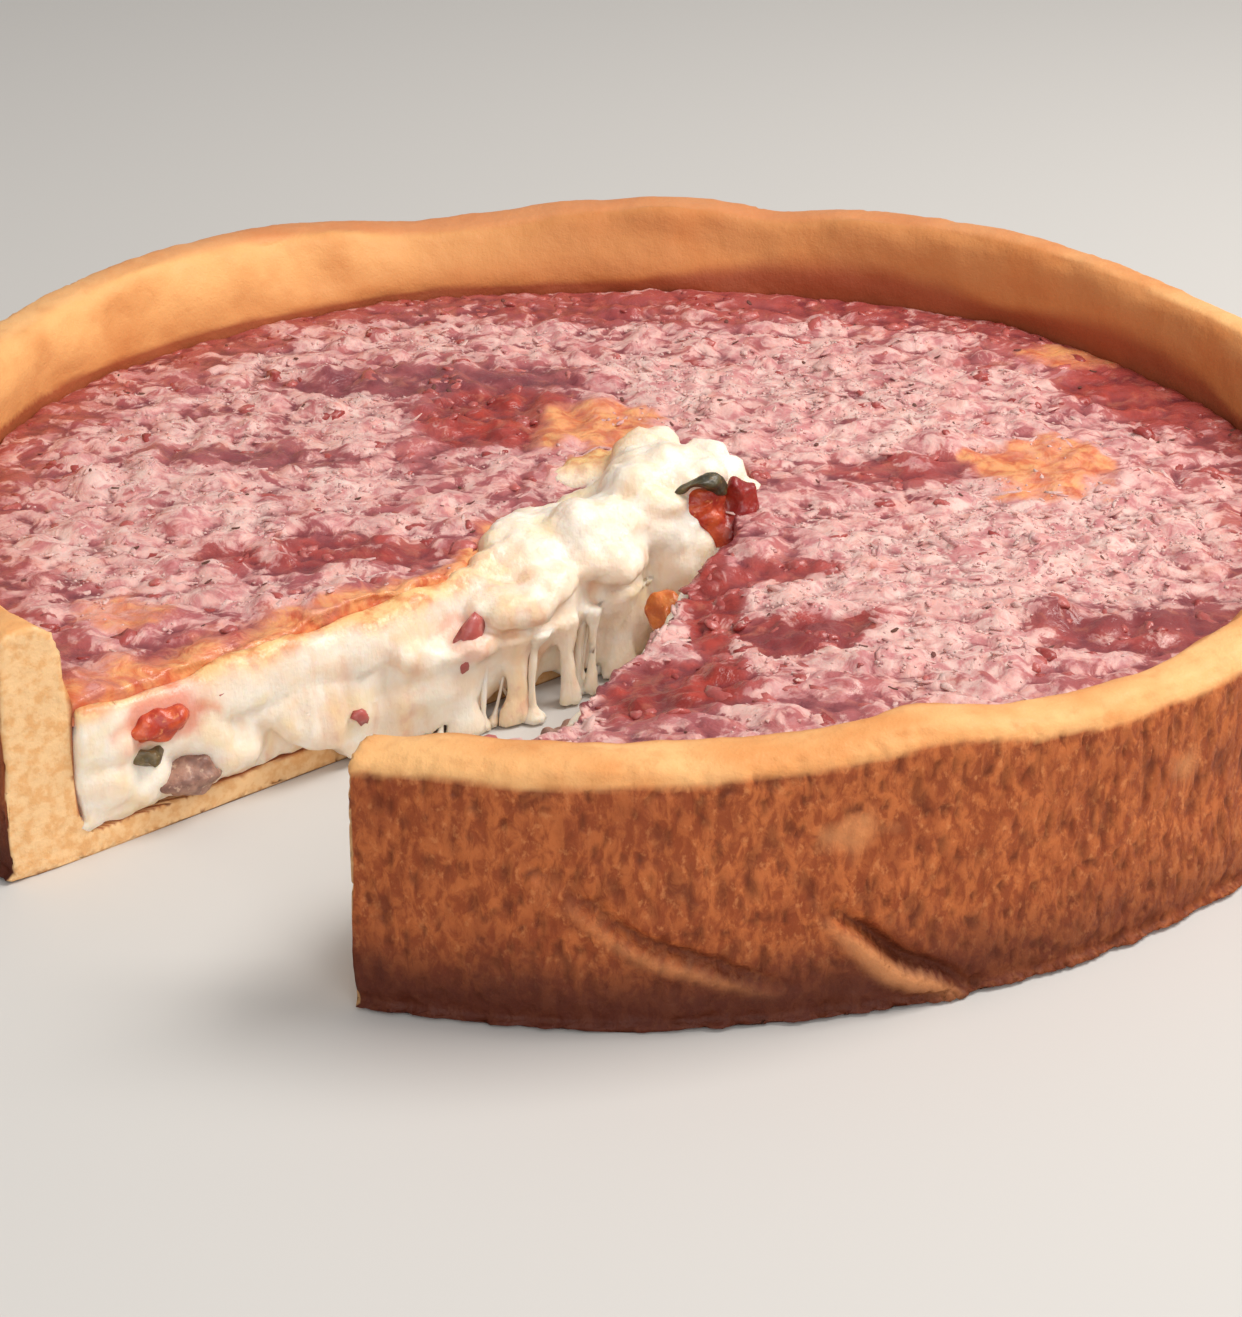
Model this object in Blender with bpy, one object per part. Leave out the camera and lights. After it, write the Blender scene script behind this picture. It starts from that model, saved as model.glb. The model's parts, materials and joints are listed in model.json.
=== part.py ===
"""Deep dish pizza, 30 cm across, standing on its own base with one slice out.

A tall bread crust holds a thick layer of melted cheese under a layer of tomato
sauce. The two cuts of the missing slice meet a little past the middle. Cheese
bulges out of the left-hand cut, is heaped up at the tip and hangs from it in
strings. The right-hand side of the filling is torn back from the knife's line.
Metres, +Z up, the base's middle at the origin.
"""

import math

import bmesh
import bpy
from mathutils import Matrix, Vector, noise

# Driving sizes
BASE_RADIUS = 0.1517
RIM_RADIUS = 0.1500
WALL_HEIGHT = 0.0478
RIM_WIDTH = 0.0122
BASE_THICKNESS = 0.0050
CHEESE_LEVEL = 0.0255
SAUCE_LEVEL = 0.0312
TOUCH_GAP = 0.0004

# Round the pizza there are this many stations, crowded towards the missing slice
STATIONS = 72
CROWDING = 0.5
CROWD_HEADING = 262.0

# The missing slice: where its cuts meet, and the heading of each cut from there
TIP = Vector((0.014, 0.0, 0.0))
LEFT_HEADING = 220.6
RIGHT_HEADING = 247.6
REACH = 0.19

# Swells of the hand-pressed rim: (heading, half width, rise)
RIM_SWELLS = (
    (138.0, 26.0, 0.0024),
    (108.0, 16.0, -0.0030),
    (84.0, 10.0, 0.0012),
    (75.0, 8.0, -0.0012),
    (50.0, 26.0, 0.0022),
    (4.0, 22.0, -0.0010),
    (335.0, 16.0, 0.0010),
    (308.0, 20.0, -0.0026),
    (288.0, 10.0, 0.0020),
    (252.0, 8.0, -0.0014),
    (205.0, 20.0, -0.0012),
    (182.0, 24.0, 0.0010),
)


def smoothstep(low, high, value):
    """0 below low, 1 above high, and an even ease between them."""
    share = min(1.0, max(0.0, (value - low) / (high - low)))
    return share * share * (3.0 - 2.0 * share)


def turn_between(heading, centre):
    """The signed angle from centre to heading, in degrees, from -180 to 180."""
    return (heading - centre + 180.0) % 360.0 - 180.0


def bell(distance, half_width):
    """A bell: 1 at no distance, 0 from the half width on."""
    share = min(1.0, abs(distance) / half_width)
    return 0.5 + 0.5 * math.cos(math.pi * share)


def unit(heading):
    """The flat unit vector at a heading in degrees from +X."""
    return Vector((math.cos(math.radians(heading)), math.sin(math.radians(heading)), 0.0))


def ripple(point, size, seed):
    """Smooth noise from -1 to 1 with bumps of the given size."""
    return noise.noise(Vector(point) / size + Vector((seed, seed * 0.7, seed * 1.3)))


def at_cut(side, along, out, height):
    """A point on a cut: along it from the tip, out into the missing slice, up."""
    heading = LEFT_HEADING if side == "left" else RIGHT_HEADING
    into_gap = 90.0 if side == "left" else -90.0
    flat = TIP + unit(heading) * along + unit(heading + into_gap) * out
    return Vector((flat.x, flat.y, height))


def sauce_pull(side, along):
    """How far the torn sauce stands back from a cut, by distance from the tip."""
    if side == "right":
        rise = smoothstep(-0.012, 0.020, along)
        fall = 1.0 - smoothstep(0.098, 0.128, along)
        wave = 0.0014 * math.sin(along / 0.0075)
        return 0.0005 + (0.0135 + wave) * rise * fall
    near_tip = 0.0132 * (1.0 - smoothstep(0.032, 0.066, along))
    return 0.0004 + near_tip + 0.0006 * (1.0 + math.sin(along / 0.0062))


def cheese_bulge(along, height):
    """How far the cheese stands out of the left-hand cut."""
    lump = 0.0052 + 0.0016 * math.sin(along / 0.0085) + 0.0008 * math.sin(along / 0.0037 + 1.0)
    tongue = 0.0075 * bell(along - 0.046, 0.034) * smoothstep(0.009, 0.019, height)
    belly = math.sin(math.pi * min(1.0, 0.18 + 0.75 * (height + 0.002) / CHEESE_LEVEL))
    ends = smoothstep(0.006, 0.020, along) * (1.0 - smoothstep(0.098, 0.116, along))
    return (lump * belly + tongue) * ends + 0.0012


def rim_rise(heading):
    """How far the rim stands above or below its usual height."""
    return sum(rise * bell(turn_between(heading, centre), width) for centre, width, rise in RIM_SWELLS)


def slump(heading):
    """How far the wall's inner foot leans in: most at the far side."""
    return 0.0090 * bell(turn_between(heading, 98.0), 62.0)


def warp(point):
    """Turns the plain turned forms into the hand-pressed ones, all by the same rule."""
    radius = math.hypot(point.x, point.y)
    heading = math.degrees(math.atan2(point.y, point.x)) % 360.0
    across = point.x / RIM_RADIUS
    depth = point.y / RIM_RADIUS
    height = point.z

    wobble = 0.0009 * math.sin(math.radians(3.0 * heading + 40.0))
    wobble += 0.0006 * math.sin(math.radians(7.0 * heading + 10.0))
    radius += wobble * smoothstep(0.0, 0.020, height) * smoothstep(0.095, 0.130, radius)

    inner = smoothstep(0.100, 0.133, radius) * (1.0 - smoothstep(0.1395, 0.1465, radius))
    foot = smoothstep(0.010, 0.025, height) * (1.0 - 0.65 * smoothstep(0.033, 0.046, height))
    radius -= slump(heading) * inner * foot

    height += rim_rise(heading) * smoothstep(0.034, 0.0475, height)
    swell = 0.0007 * math.sin(9.0 * across + 1.0) * math.cos(8.0 * depth)
    middle = 1.0 - smoothstep(0.105, 0.128, radius)
    settled = smoothstep(0.018, 0.0250, point.z) * (1.0 - smoothstep(0.033, 0.036, point.z))
    height += swell * middle * settled

    from_tip = Vector((point.x, point.y, 0.0)) - TIP
    along = from_tip.dot(unit(RIGHT_HEADING))
    back = from_tip.dot(unit(RIGHT_HEADING + 90.0)) - sauce_pull("right", along)
    sagging = smoothstep(0.020, 0.040, along) * (1.0 - smoothstep(0.100, 0.125, along))
    height -= 0.0030 * (1.0 - smoothstep(0.0, 0.024, abs(back))) * sagging * settled
    flat = unit(heading) * radius
    return Vector((flat.x, flat.y, height))


def material(name, colour, roughness):
    """A Principled material of one colour."""
    made = bpy.data.materials.new(name)
    made.use_nodes = True
    shader = made.node_tree.nodes["Principled BSDF"]
    shader.inputs["Base Color"].default_value = (*colour, 1.0)
    shader.inputs["Roughness"].default_value = roughness
    made.diffuse_color = (*colour, 1.0)
    return made


def finish_mesh(name, shape, look):
    """Puts a bmesh into a new object under the pizza's empty; with no look it is a tool."""
    bmesh.ops.recalc_face_normals(shape, faces=shape.faces)
    if shape.calc_volume(signed=True) < 0.0:
        bmesh.ops.reverse_faces(shape, faces=shape.faces)
    mesh = bpy.data.meshes.new(name)
    shape.to_mesh(mesh)
    shape.free()
    mesh.shade_smooth()
    mesh.set_sharp_from_angle(angle=math.radians(40.0))
    made = bpy.data.objects.new(name, mesh)
    bpy.context.collection.objects.link(made)
    made.parent = PIZZA
    if look is None:
        made.hide_render = True
        made.display_type = "WIRE"
    else:
        mesh.materials.append(look)
    return made


def turned(name, profile, look):
    """A full turn of a profile that starts and ends on the axis."""
    shape = bmesh.new()
    points = [shape.verts.new((radius, 0.0, height)) for radius, height in profile]
    edges = [shape.edges.new(pair) for pair in zip(points, points[1:])]
    bmesh.ops.spin(
        shape, geom=points + edges, cent=(0, 0, 0), axis=(0, 0, 1), angle=2.0 * math.pi,
        steps=STATIONS, use_merge=True,
    )
    bmesh.ops.remove_doubles(shape, verts=shape.verts, dist=1e-6)
    for vert in shape.verts:
        spun = math.atan2(vert.co.y, vert.co.x)
        crowded = math.radians(CROWD_HEADING) + spun - CROWDING * math.sin(spun)
        radius = math.hypot(vert.co.x, vert.co.y)
        vert.co = warp(Vector((radius * math.cos(crowded), radius * math.sin(crowded), vert.co.z)))
    return finish_mesh(name, shape, look)


def combine(target, operation, tool, solver="EXACT"):
    """Adds a Boolean step to the target."""
    step = target.modifiers.new(operation.lower() + "_" + tool.name, "BOOLEAN")
    step.operation = operation
    step.solver = solver
    step.object = tool


def loft(name, rings, look=None):
    """A closed solid through rings of points, with a flat cap at each end."""
    shape = bmesh.new()
    made = [[shape.verts.new(point) for point in ring] for ring in rings]
    for ring in made:
        for index, vert in enumerate(ring):
            shape.edges.new((vert, ring[(index + 1) % len(ring)]))
    for low, high in zip(made, made[1:]):
        edges = [edge for edge in shape.edges if set(edge.verts) <= set(low) or set(edge.verts) <= set(high)]
        bmesh.ops.bridge_loops(shape, edges=edges)
    shape.faces.new(made[0])
    shape.faces.new(list(reversed(made[-1])))
    return finish_mesh(name, shape, look)


def lump(name, centre, radii, seed, look=None, detail=3, grow=0.0, turn=0.0, rough=0.14):
    """An uneven rounded lump."""
    shape = bmesh.new()
    bmesh.ops.create_icosphere(shape, subdivisions=detail, radius=1.0)
    for vert in shape.verts:
        vert.co *= 1.0 + rough * ripple(vert.co, 0.9, seed)
        vert.co = Vector(part * (radius + grow) for part, radius in zip(vert.co, radii))
    place = Matrix.Translation(centre) @ Matrix.Rotation(math.radians(turn), 4, "Z")
    bmesh.ops.transform(shape, matrix=place, verts=shape.verts)
    return finish_mesh(name, shape, look)


def heap_rim(height):
    """The sauce's edge round the heap at the tip: part of an oval, from left to right."""
    middle = TIP + Vector((-0.0055, 0.0015, 0.0))
    ahead = unit(LEFT_HEADING - 180.0)
    aside = unit(LEFT_HEADING - 90.0)
    for turn in range(120, -71, -19):
        reach = 0.0200 * math.cos(math.radians(turn))
        spread = 0.0138 * math.sin(math.radians(turn))
        yield Vector((*(middle + ahead * reach + aside * spread).xy, height))


def slice_space(name, left_pull, right_pull, low, high, around_heap=False):
    """The room the missing slice leaves, as a tool that cuts it out of a layer."""
    rings = []
    for height, share in ((low, 0.0), (high, 1.0)):
        ring = []
        stations = [REACH - index * (REACH - 0.012) / 26 for index in range(27)]
        for along in stations:
            ring.append(at_cut("left", along, -left_pull(along, share), height))
        ring += heap_rim(height) if around_heap else [Vector((TIP.x, TIP.y, height))]
        for along in reversed(stations):
            ring.append(at_cut("right", along, -right_pull(along, share), height))
        rings.append(ring)
    return loft(name, rings)


def furrow(name, start, end, bow, width, depth, stations=7):
    """A pointed crease across the outer wall, or a lip if the depth is negative."""
    rings = []
    for index in range(stations):
        share = index / (stations - 1)
        swell = max(0.06, math.sin(math.pi * share) ** 0.7)
        heading = start[0] + (end[0] - start[0]) * share
        height = start[1] + (end[1] - start[1]) * share - bow * math.sin(math.pi * share)
        lean = BASE_RADIUS + (RIM_RADIUS - BASE_RADIUS) * height / WALL_HEIGHT
        outside = lean + (0.0020 if depth > 0.0 else -0.0015)
        ring = []
        for radius, rise in ((outside, 0.5), (lean - depth * swell, 0.12), (outside, -0.5)):
            flat = unit(heading) * radius
            ring.append(Vector((flat.x, flat.y, height + rise * width * swell)))
        rings.append(ring)
    return loft(name, rings)


def crust_profile():
    """Half section of the crust: base, outer wall, rim, inner wall, floor."""
    rim_inside = RIM_RADIUS - RIM_WIDTH
    top = WALL_HEIGHT
    return (
        (0.0, 0.0),
        (BASE_RADIUS - 0.0052, 0.0),
        (BASE_RADIUS - 0.0012, 0.0014),
        (BASE_RADIUS, 0.0050),
        (BASE_RADIUS - 0.0005, 0.019),
        (RIM_RADIUS + 0.0005, 0.033),
        (RIM_RADIUS, top - 0.0036),
        (RIM_RADIUS - 0.0011, top - 0.0009),
        (RIM_RADIUS - 0.0036, top + 0.0003),
        (RIM_RADIUS - 0.0080, top + 0.0002),
        (rim_inside + 0.0014, top - 0.0016),
        (rim_inside, top - 0.0052),
        (rim_inside - 0.0002, 0.036),
        (rim_inside - 0.0004, 0.0285),
        (rim_inside - 0.0008, 0.0105),
        (rim_inside - 0.0023, BASE_THICKNESS + 0.0017),
        (rim_inside - 0.0058, BASE_THICKNESS),
        (0.0, BASE_THICKNESS),
    )


LAYER_RADII = (0.124, 0.108, 0.092, 0.076, 0.058, 0.038, 0.018)


def cheese_profile():
    """Half section of the cheese, a touch gap inside the crust."""
    wall = RIM_RADIUS - RIM_WIDTH - TOUCH_GAP
    floor = BASE_THICKNESS + TOUCH_GAP
    corner = ((0.0, floor), (wall - 0.0060, floor), (wall - 0.0025, floor + 0.0018))
    side = ((wall - 0.0008, 0.0108), (wall - 0.0009, CHEESE_LEVEL))
    return corner + side + tuple((radius, CHEESE_LEVEL) for radius in LAYER_RADII) + ((0.0, CHEESE_LEVEL),)


def sauce_profile():
    """Half section of the sauce, a touch gap above the cheese."""
    wall = RIM_RADIUS - RIM_WIDTH - TOUCH_GAP
    under = CHEESE_LEVEL + TOUCH_GAP
    bottom = ((0.0, under),) + tuple((radius, under) for radius in reversed(LAYER_RADII))
    side = ((wall - 0.0005, under), (wall - 0.0004, SAUCE_LEVEL - 0.0014))
    top = ((wall - 0.0030, SAUCE_LEVEL),) + tuple((radius, SAUCE_LEVEL) for radius in LAYER_RADII)
    return bottom + side + top + ((0.0, SAUCE_LEVEL),)


def build_crust():
    crust = turned("crust", crust_profile(), material("baked_crust", (0.42, 0.17, 0.055), 0.75))
    knife = slice_space("knife_cut", lambda along, share: 0.0, lambda along, share: 0.0, -0.01, 0.07)
    combine(crust, "DIFFERENCE", knife)
    long_crease = furrow("long_crease", (282.2, 0.0205), (292.2, 0.0025), 0.0012, 0.0034, 0.0030)
    left_crease = furrow("left_crease", (264.2, 0.0300), (279.5, 0.0085), 0.0026, 0.0022, 0.0017, 9)
    torn_lip = furrow("torn_lip", (281.4, 0.0160), (290.4, 0.0028), 0.0010, 0.0062, -0.0021)
    combine(crust, "DIFFERENCE", long_crease)
    combine(crust, "DIFFERENCE", left_crease)
    combine(crust, "UNION", torn_lip)
    return crust


def left_curtain():
    """The cheese that has bulged and run out of the left-hand cut, over the base."""
    rings = []
    for index in range(15):
        along = 0.010 + 0.0076 * index
        inside = -0.0030
        clear = 0.0005
        top = CHEESE_LEVEL - 0.0004 - 0.0016 * (0.5 + 0.5 * math.sin(along / 0.011))
        hem = 0.0012 + 0.0030 * (0.5 + 0.5 * math.sin(along / 0.0095 + 2.0))
        hem += 0.0100 * smoothstep(0.088, 0.114, along)
        inner_hem = max(hem + 0.0004, BASE_THICKNESS + 0.0010)
        section = [
            (inside, inner_hem + 0.0010),
            (clear, inner_hem + 0.0002),
            (clear, hem),
            (max(clear + 0.0006, cheese_bulge(along, hem)), hem + 0.0010),
            (cheese_bulge(along, 0.011) + 0.0006, max(0.011, hem + 0.0024)),
            (cheese_bulge(along, 0.018) + 0.0006, 0.0185),
            (cheese_bulge(along, 0.023) * 0.62 + 0.0004, top - 0.0012),
            (inside, top),
        ]
        rings.append([at_cut("left", along, out, height) for out, height in section])
    return loft("left_curtain", rings)


def raised_lip():
    """The cheese that has pulled up along the left-hand cut, close to the torn sauce."""
    rings = []
    for index in range(15):
        along = 0.016 + 0.0076 * index
        pull = sauce_pull("left", along) - TOUCH_GAP - 0.0003
        crest = 0.0301 + 0.0040 * (1.0 - smoothstep(0.030, 0.080, along))
        crest += 0.0007 * math.sin(along / 0.0054)
        swell = 0.0034 + 0.0012 * math.sin(along / 0.0068 + 2.0)
        ends = 1.0 - smoothstep(0.108, 0.124, along)
        section = (
            (-pull, 0.0215),
            (-pull, crest - 0.0026),
            (-0.60 * pull + 0.0002, crest - 0.0003),
            (0.0012 + 0.5 * swell * ends, crest - 0.0014),
            (0.0012 + swell * ends, 0.0235),
            (0.0004, 0.0200),
        )
        rings.append([at_cut("left", along, out, height) for out, height in section])
    return loft("raised_lip", rings)


# Cheese strings hanging under the tongue: along the left cut, out from it, half width, lean
STRINGS = (
    (0.0665, 0.0074, 0.0036, 0.000),
    (0.0545, 0.0096, 0.0030, 0.001),
    (0.0435, 0.0102, 0.0022, -0.001),
    (0.0355, 0.0100, 0.0012, 0.001),
    (0.0265, 0.0072, 0.0034, 0.000),
)


def hanging_string(index, along, out, half_width, lean):
    """A flat string of cheese from the tongue down to just above the base level."""
    rings = []
    for step in range(7):
        share = step / 6
        height = 0.0195 - (0.0195 - 0.0006) * share
        waist = 1.0 - 0.22 * math.sin(math.pi * share)
        flare = 1.0 + 0.5 * smoothstep(0.80, 1.0, share) + 0.9 * (1.0 - min(1.0, share / 0.45)) ** 2
        thick = 0.0007 + 0.30 * half_width
        ring = []
        for corner in range(6):
            turn = math.tau * corner / 6
            ahead = along + lean * share + half_width * waist * flare * math.cos(turn)
            aside = out + thick * waist * flare * math.sin(turn)
            ring.append(at_cut("left", ahead, aside, height))
        rings.append(ring)
    return loft("string_" + str(index), rings)


def heap_lumps():
    """The heap at the tip, from its far end to its tail on the left cut: centre, radii, turn."""
    return (
        (Vector((0.0160, 0.0066, 0.0270)), (0.0088, 0.0080, 0.0118), 20.0),
        (Vector((0.0058, -0.0035, 0.0290)), (0.0165, 0.0122, 0.0128), 38.0),
        (at_cut("left", 0.0290, 0.0002, 0.0262), (0.0150, 0.0102, 0.0108), 36.0),
        (at_cut("left", 0.0460, 0.0034, 0.0212), (0.0145, 0.0072, 0.0084), 42.0),
        (Vector((0.0112, -0.0128, 0.0200)), (0.0068, 0.0062, 0.0128), 0.0),
        (at_cut("left", 0.0370, -0.0040, 0.0285), (0.0120, 0.0060, 0.0056), 40.0),
    )


def build_cheese():
    cheese = turned("cheese", cheese_profile(), material("melted_cheese", (0.93, 0.80, 0.60), 0.35))
    torn = slice_space(
        "cheese_cut",
        lambda along, share: 0.0,
        lambda along, share: (0.15 + 0.80 * share) * sauce_pull("right", along),
        -0.002, CHEESE_LEVEL + 0.004,
    )
    combine(cheese, "DIFFERENCE", torn, "MANIFOLD")
    pulled = left_curtain()
    combine(pulled, "UNION", raised_lip(), "MANIFOLD")
    for index, (centre, radii, turn) in enumerate(heap_lumps(), 1):
        heap = lump("heap_" + str(index), centre, radii, 3.0 * index, detail=2, turn=turn, rough=0.22)
        combine(pulled, "UNION", heap, "MANIFOLD")
    for index, values in enumerate(STRINGS, 1):
        combine(pulled, "UNION", hanging_string(index, *values), "MANIFOLD")
    combine(cheese, "UNION", pulled, "MANIFOLD")
    return cheese


def build_sauce():
    sauce = turned("sauce", sauce_profile(), material("tomato_sauce", (0.55, 0.16, 0.14), 0.5))
    torn = slice_space(
        "sauce_cut",
        lambda along, share: sauce_pull("left", along),
        lambda along, share: sauce_pull("right", along) + 0.0012 * share,
        0.015, 0.05, around_heap=True,
    )
    combine(sauce, "DIFFERENCE", torn)
    return sauce


def filling_pieces():
    """The pieces of filling that the cuts lay bare: name, place, radii, turn, seed, look."""
    return (
        (
            "tomato_chunk_tip", Vector((0.0205, -0.0095, 0.0262)),
            (0.0062, 0.0052, 0.0058), 20.0, 2.0, "tomato",
        ),
        (
            "pepper_skin_tip", Vector((0.0115, -0.0120, 0.0362)),
            (0.0062, 0.0024, 0.0017), 8.0, 4.0, "dark_pepper",
        ),
        (
            "pepper_piece_tip", Vector((0.0085, -0.0290, 0.0165)),
            (0.0042, 0.0036, 0.0050), 10.0, 6.0, "orange_pepper",
        ),
        (
            "tomato_chunk_wall", at_cut("left", 0.1300, 0.0002, 0.0222),
            (0.0072, 0.0044, 0.0036), 40.6, 7.0, "tomato",
        ),
        (
            "pepper_piece_wall", at_cut("left", 0.1335, 0.0002, 0.0160),
            (0.0048, 0.0030, 0.0020), 44.0, 9.0, "green_pepper",
        ),
        (
            "sausage_piece_wall", at_cut("left", 0.1250, 0.0004, 0.0098),
            (0.0082, 0.0046, 0.0036), 40.6, 11.0, "sausage",
        ),
        (
            "tomato_chunk_right", at_cut("right", 0.1050, -0.0080, 0.0180),
            (0.0066, 0.0050, 0.0045), 67.6, 12.0, "tomato",
        ),
        (
            "sausage_piece_right", at_cut("right", 0.0760, -0.0050, 0.0110),
            (0.0072, 0.0048, 0.0040), 67.6, 14.0, "sausage",
        ),
    )


PIECE_LOOKS = {
    "tomato": ((0.62, 0.07, 0.03), 0.3),
    "dark_pepper": ((0.05, 0.05, 0.02), 0.35),
    "orange_pepper": ((0.75, 0.25, 0.05), 0.35),
    "green_pepper": ((0.22, 0.19, 0.06), 0.4),
    "sausage": ((0.42, 0.27, 0.22), 0.55),
}


def build_pieces(layers):
    """Each piece sits in a socket cut a touch gap wider out of the layers round it."""
    looks = {name: material(name, colour, rough) for name, (colour, rough) in PIECE_LOOKS.items()}
    for name, centre, radii, turn, seed, look in filling_pieces():
        lump(name, centre, radii, seed, looks[look], detail=2, turn=turn)
        socket = lump(name + "_socket", centre, radii, seed, detail=2, turn=turn, grow=TOUCH_GAP + 0.0002)
        for layer in layers:
            combine(layer, "DIFFERENCE", socket, "MANIFOLD")


def stand_on_origin(made):
    """Moves the pizza so that its outline's middle is over the origin."""
    bpy.context.view_layer.update()
    graph = bpy.context.evaluated_depsgraph_get()
    shape = made.evaluated_get(graph)
    places = [shape.matrix_world @ vert.co for vert in shape.data.vertices]
    for axis in (0, 1):
        values = [place[axis] for place in places]
        PIZZA.location[axis] = -0.5 * (min(values) + max(values))
    PIZZA.location.z = -min(place.z for place in places)


for old in list(bpy.data.objects):
    bpy.data.objects.remove(old, do_unlink=True)

PIZZA = bpy.data.objects.new("pizza", None)
bpy.context.collection.objects.link(PIZZA)
crust_made = build_crust()
cheese_made = build_cheese()
sauce_made = build_sauce()
build_pieces((cheese_made, sauce_made))
stand_on_origin(crust_made)
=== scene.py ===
"""Looks of the deep dish pizza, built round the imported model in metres, +Z up.

The crust, the cheese, the sauce and every piece of filling get a finely modelled
piece that stands for the plain solid. Grated cheese, crumbs of it, tomato bits
and herbs are strewn on the sauce, and thin threads of cheese hang in the gap.
"""

import json
import math
import random

import bmesh
import bpy
import numpy as np
from mathutils import Matrix, Vector, noise
from mathutils.bvhtree import BVHTree


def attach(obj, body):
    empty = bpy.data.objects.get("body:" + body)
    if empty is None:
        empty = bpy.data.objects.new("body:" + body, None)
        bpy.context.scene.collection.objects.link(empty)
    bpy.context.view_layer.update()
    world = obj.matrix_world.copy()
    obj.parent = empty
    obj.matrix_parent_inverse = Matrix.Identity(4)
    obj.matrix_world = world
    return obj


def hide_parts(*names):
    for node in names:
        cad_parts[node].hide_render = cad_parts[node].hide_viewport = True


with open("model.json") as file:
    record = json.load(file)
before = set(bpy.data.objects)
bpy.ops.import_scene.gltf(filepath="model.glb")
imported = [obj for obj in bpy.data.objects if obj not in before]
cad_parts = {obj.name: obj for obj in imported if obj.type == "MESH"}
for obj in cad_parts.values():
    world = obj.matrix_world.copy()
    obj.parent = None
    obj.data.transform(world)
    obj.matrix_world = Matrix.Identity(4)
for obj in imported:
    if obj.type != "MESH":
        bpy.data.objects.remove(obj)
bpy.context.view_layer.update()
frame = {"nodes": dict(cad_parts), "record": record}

# Sizes of the pizza, as in the part's own source
BASE_RADIUS = 0.1517
RIM_RADIUS = 0.1500
WALL_HEIGHT = 0.0478
RIM_WIDTH = 0.0122
BASE_THICKNESS = 0.0050
CHEESE_LEVEL = 0.0255
SAUCE_LEVEL = 0.0312
TOUCH_GAP = 0.0004

# The missing slice: where its cuts meet, and the heading of each cut from there
TIP = Vector((0.014, 0.0, 0.0))
LEFT_HEADING = 220.6
RIGHT_HEADING = 247.6
REACH = 0.19

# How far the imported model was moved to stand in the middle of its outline
SHIFT = Vector((-0.00018, 0.00050, 0.0))

# Fineness of the skins, in metres, and the most triangles that a large piece keeps
CRUST_SKIN = 0.00090
SAUCE_SKIN = 0.00088
CHEESE_SKIN = 0.00070
FILLING_SKIN = 0.00042
MOST_TRIANGLES = 196000
CHEESE_TRIANGLES = 170000

# Steps along the left cut for the cheese that has run out of it
CUT_STEPS = 76

# Strewn things: how many, and from and to which size
TOMATO_BITS = (480, (0.0022, 0.0060))
SHREDS = (1100, (0.0026, 0.0066))
CRUMBS = (2800, (0.0006, 0.0013))
HERBS = (110, (0.0010, 0.0022))
STREWN_RADIUS = 0.1365
LOWEST_STREWN = 0.0265

# The view: degrees that it looks down by
LOOK_DOWN = 26.3

# Swells of the hand-pressed rim: (heading, half width, rise)
RIM_SWELLS = (
    (138.0, 26.0, 0.0024),
    (108.0, 16.0, -0.0030),
    (84.0, 10.0, 0.0012),
    (75.0, 8.0, -0.0012),
    (50.0, 26.0, 0.0022),
    (4.0, 22.0, -0.0010),
    (335.0, 16.0, 0.0010),
    (308.0, 20.0, -0.0026),
    (288.0, 10.0, 0.0020),
    (252.0, 8.0, -0.0014),
    (205.0, 20.0, -0.0012),
    (182.0, 24.0, 0.0010),
)

# Folds in the fried wall: start (heading, height), end, sag, groove depth, lip height
FOLDS = (
    ((281.9, 0.0212), (292.0, 0.0018), 0.0012, 0.0028, 0.0023),
    ((264.0, 0.0305), (280.2, 0.0070), 0.0030, 0.0018, 0.0013),
    ((318.0, 0.0260), (329.0, 0.0060), 0.0016, 0.0014, 0.0010),
    ((345.0, 0.0340), (356.0, 0.0170), 0.0020, 0.0010, 0.0007),
    ((22.0, 0.0240), (36.0, 0.0030), 0.0018, 0.0018, 0.0013),
    ((60.0, 0.0310), (70.0, 0.0120), -0.0014, 0.0010, 0.0006),
    ((93.0, 0.0200), (107.0, 0.0040), 0.0020, 0.0017, 0.0012),
    ((128.0, 0.0330), (141.0, 0.0150), 0.0024, 0.0012, 0.0008),
    ((158.0, 0.0180), (171.0, 0.0030), 0.0012, 0.0019, 0.0014),
    ((196.0, 0.0290), (206.0, 0.0100), 0.0018, 0.0011, 0.0008),
)


def smoothstep(low, high, value):
    """0 below low, 1 above high, and an even ease between them."""
    share = min(1.0, max(0.0, (value - low) / (high - low)))
    return share * share * (3.0 - 2.0 * share)


def turn_between(heading, centre):
    """The signed angle from centre to heading, in degrees, from -180 to 180."""
    return (heading - centre + 180.0) % 360.0 - 180.0


def bell(distance, half_width):
    """A bell: 1 at no distance, 0 from the half width on."""
    share = min(1.0, abs(distance) / half_width)
    return 0.5 + 0.5 * math.cos(math.pi * share)


def unit(heading):
    """The flat unit vector at a heading in degrees from +X."""
    return Vector((math.cos(math.radians(heading)), math.sin(math.radians(heading)), 0.0))


def ripple(point, across, up=None, seed=0.0):
    """Smooth noise from -1 to 1, with bumps of the given width and height."""
    up = up or across
    return noise.noise(Vector((point.x / across + seed, point.y / across - seed, point.z / up + seed)))


# Each cut's direction from the tip, and the direction out of it into the gap
CUTS = {
    "left": (unit(LEFT_HEADING), unit(LEFT_HEADING + 90.0)),
    "right": (unit(RIGHT_HEADING), unit(RIGHT_HEADING - 90.0)),
}


def at_cut(side, along, out, height):
    """A point on a cut: along it from the tip, out into the missing slice, up."""
    ahead, into_gap = CUTS[side]
    flat = TIP + ahead * along + into_gap * out
    return Vector((flat.x, flat.y, height))


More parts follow.
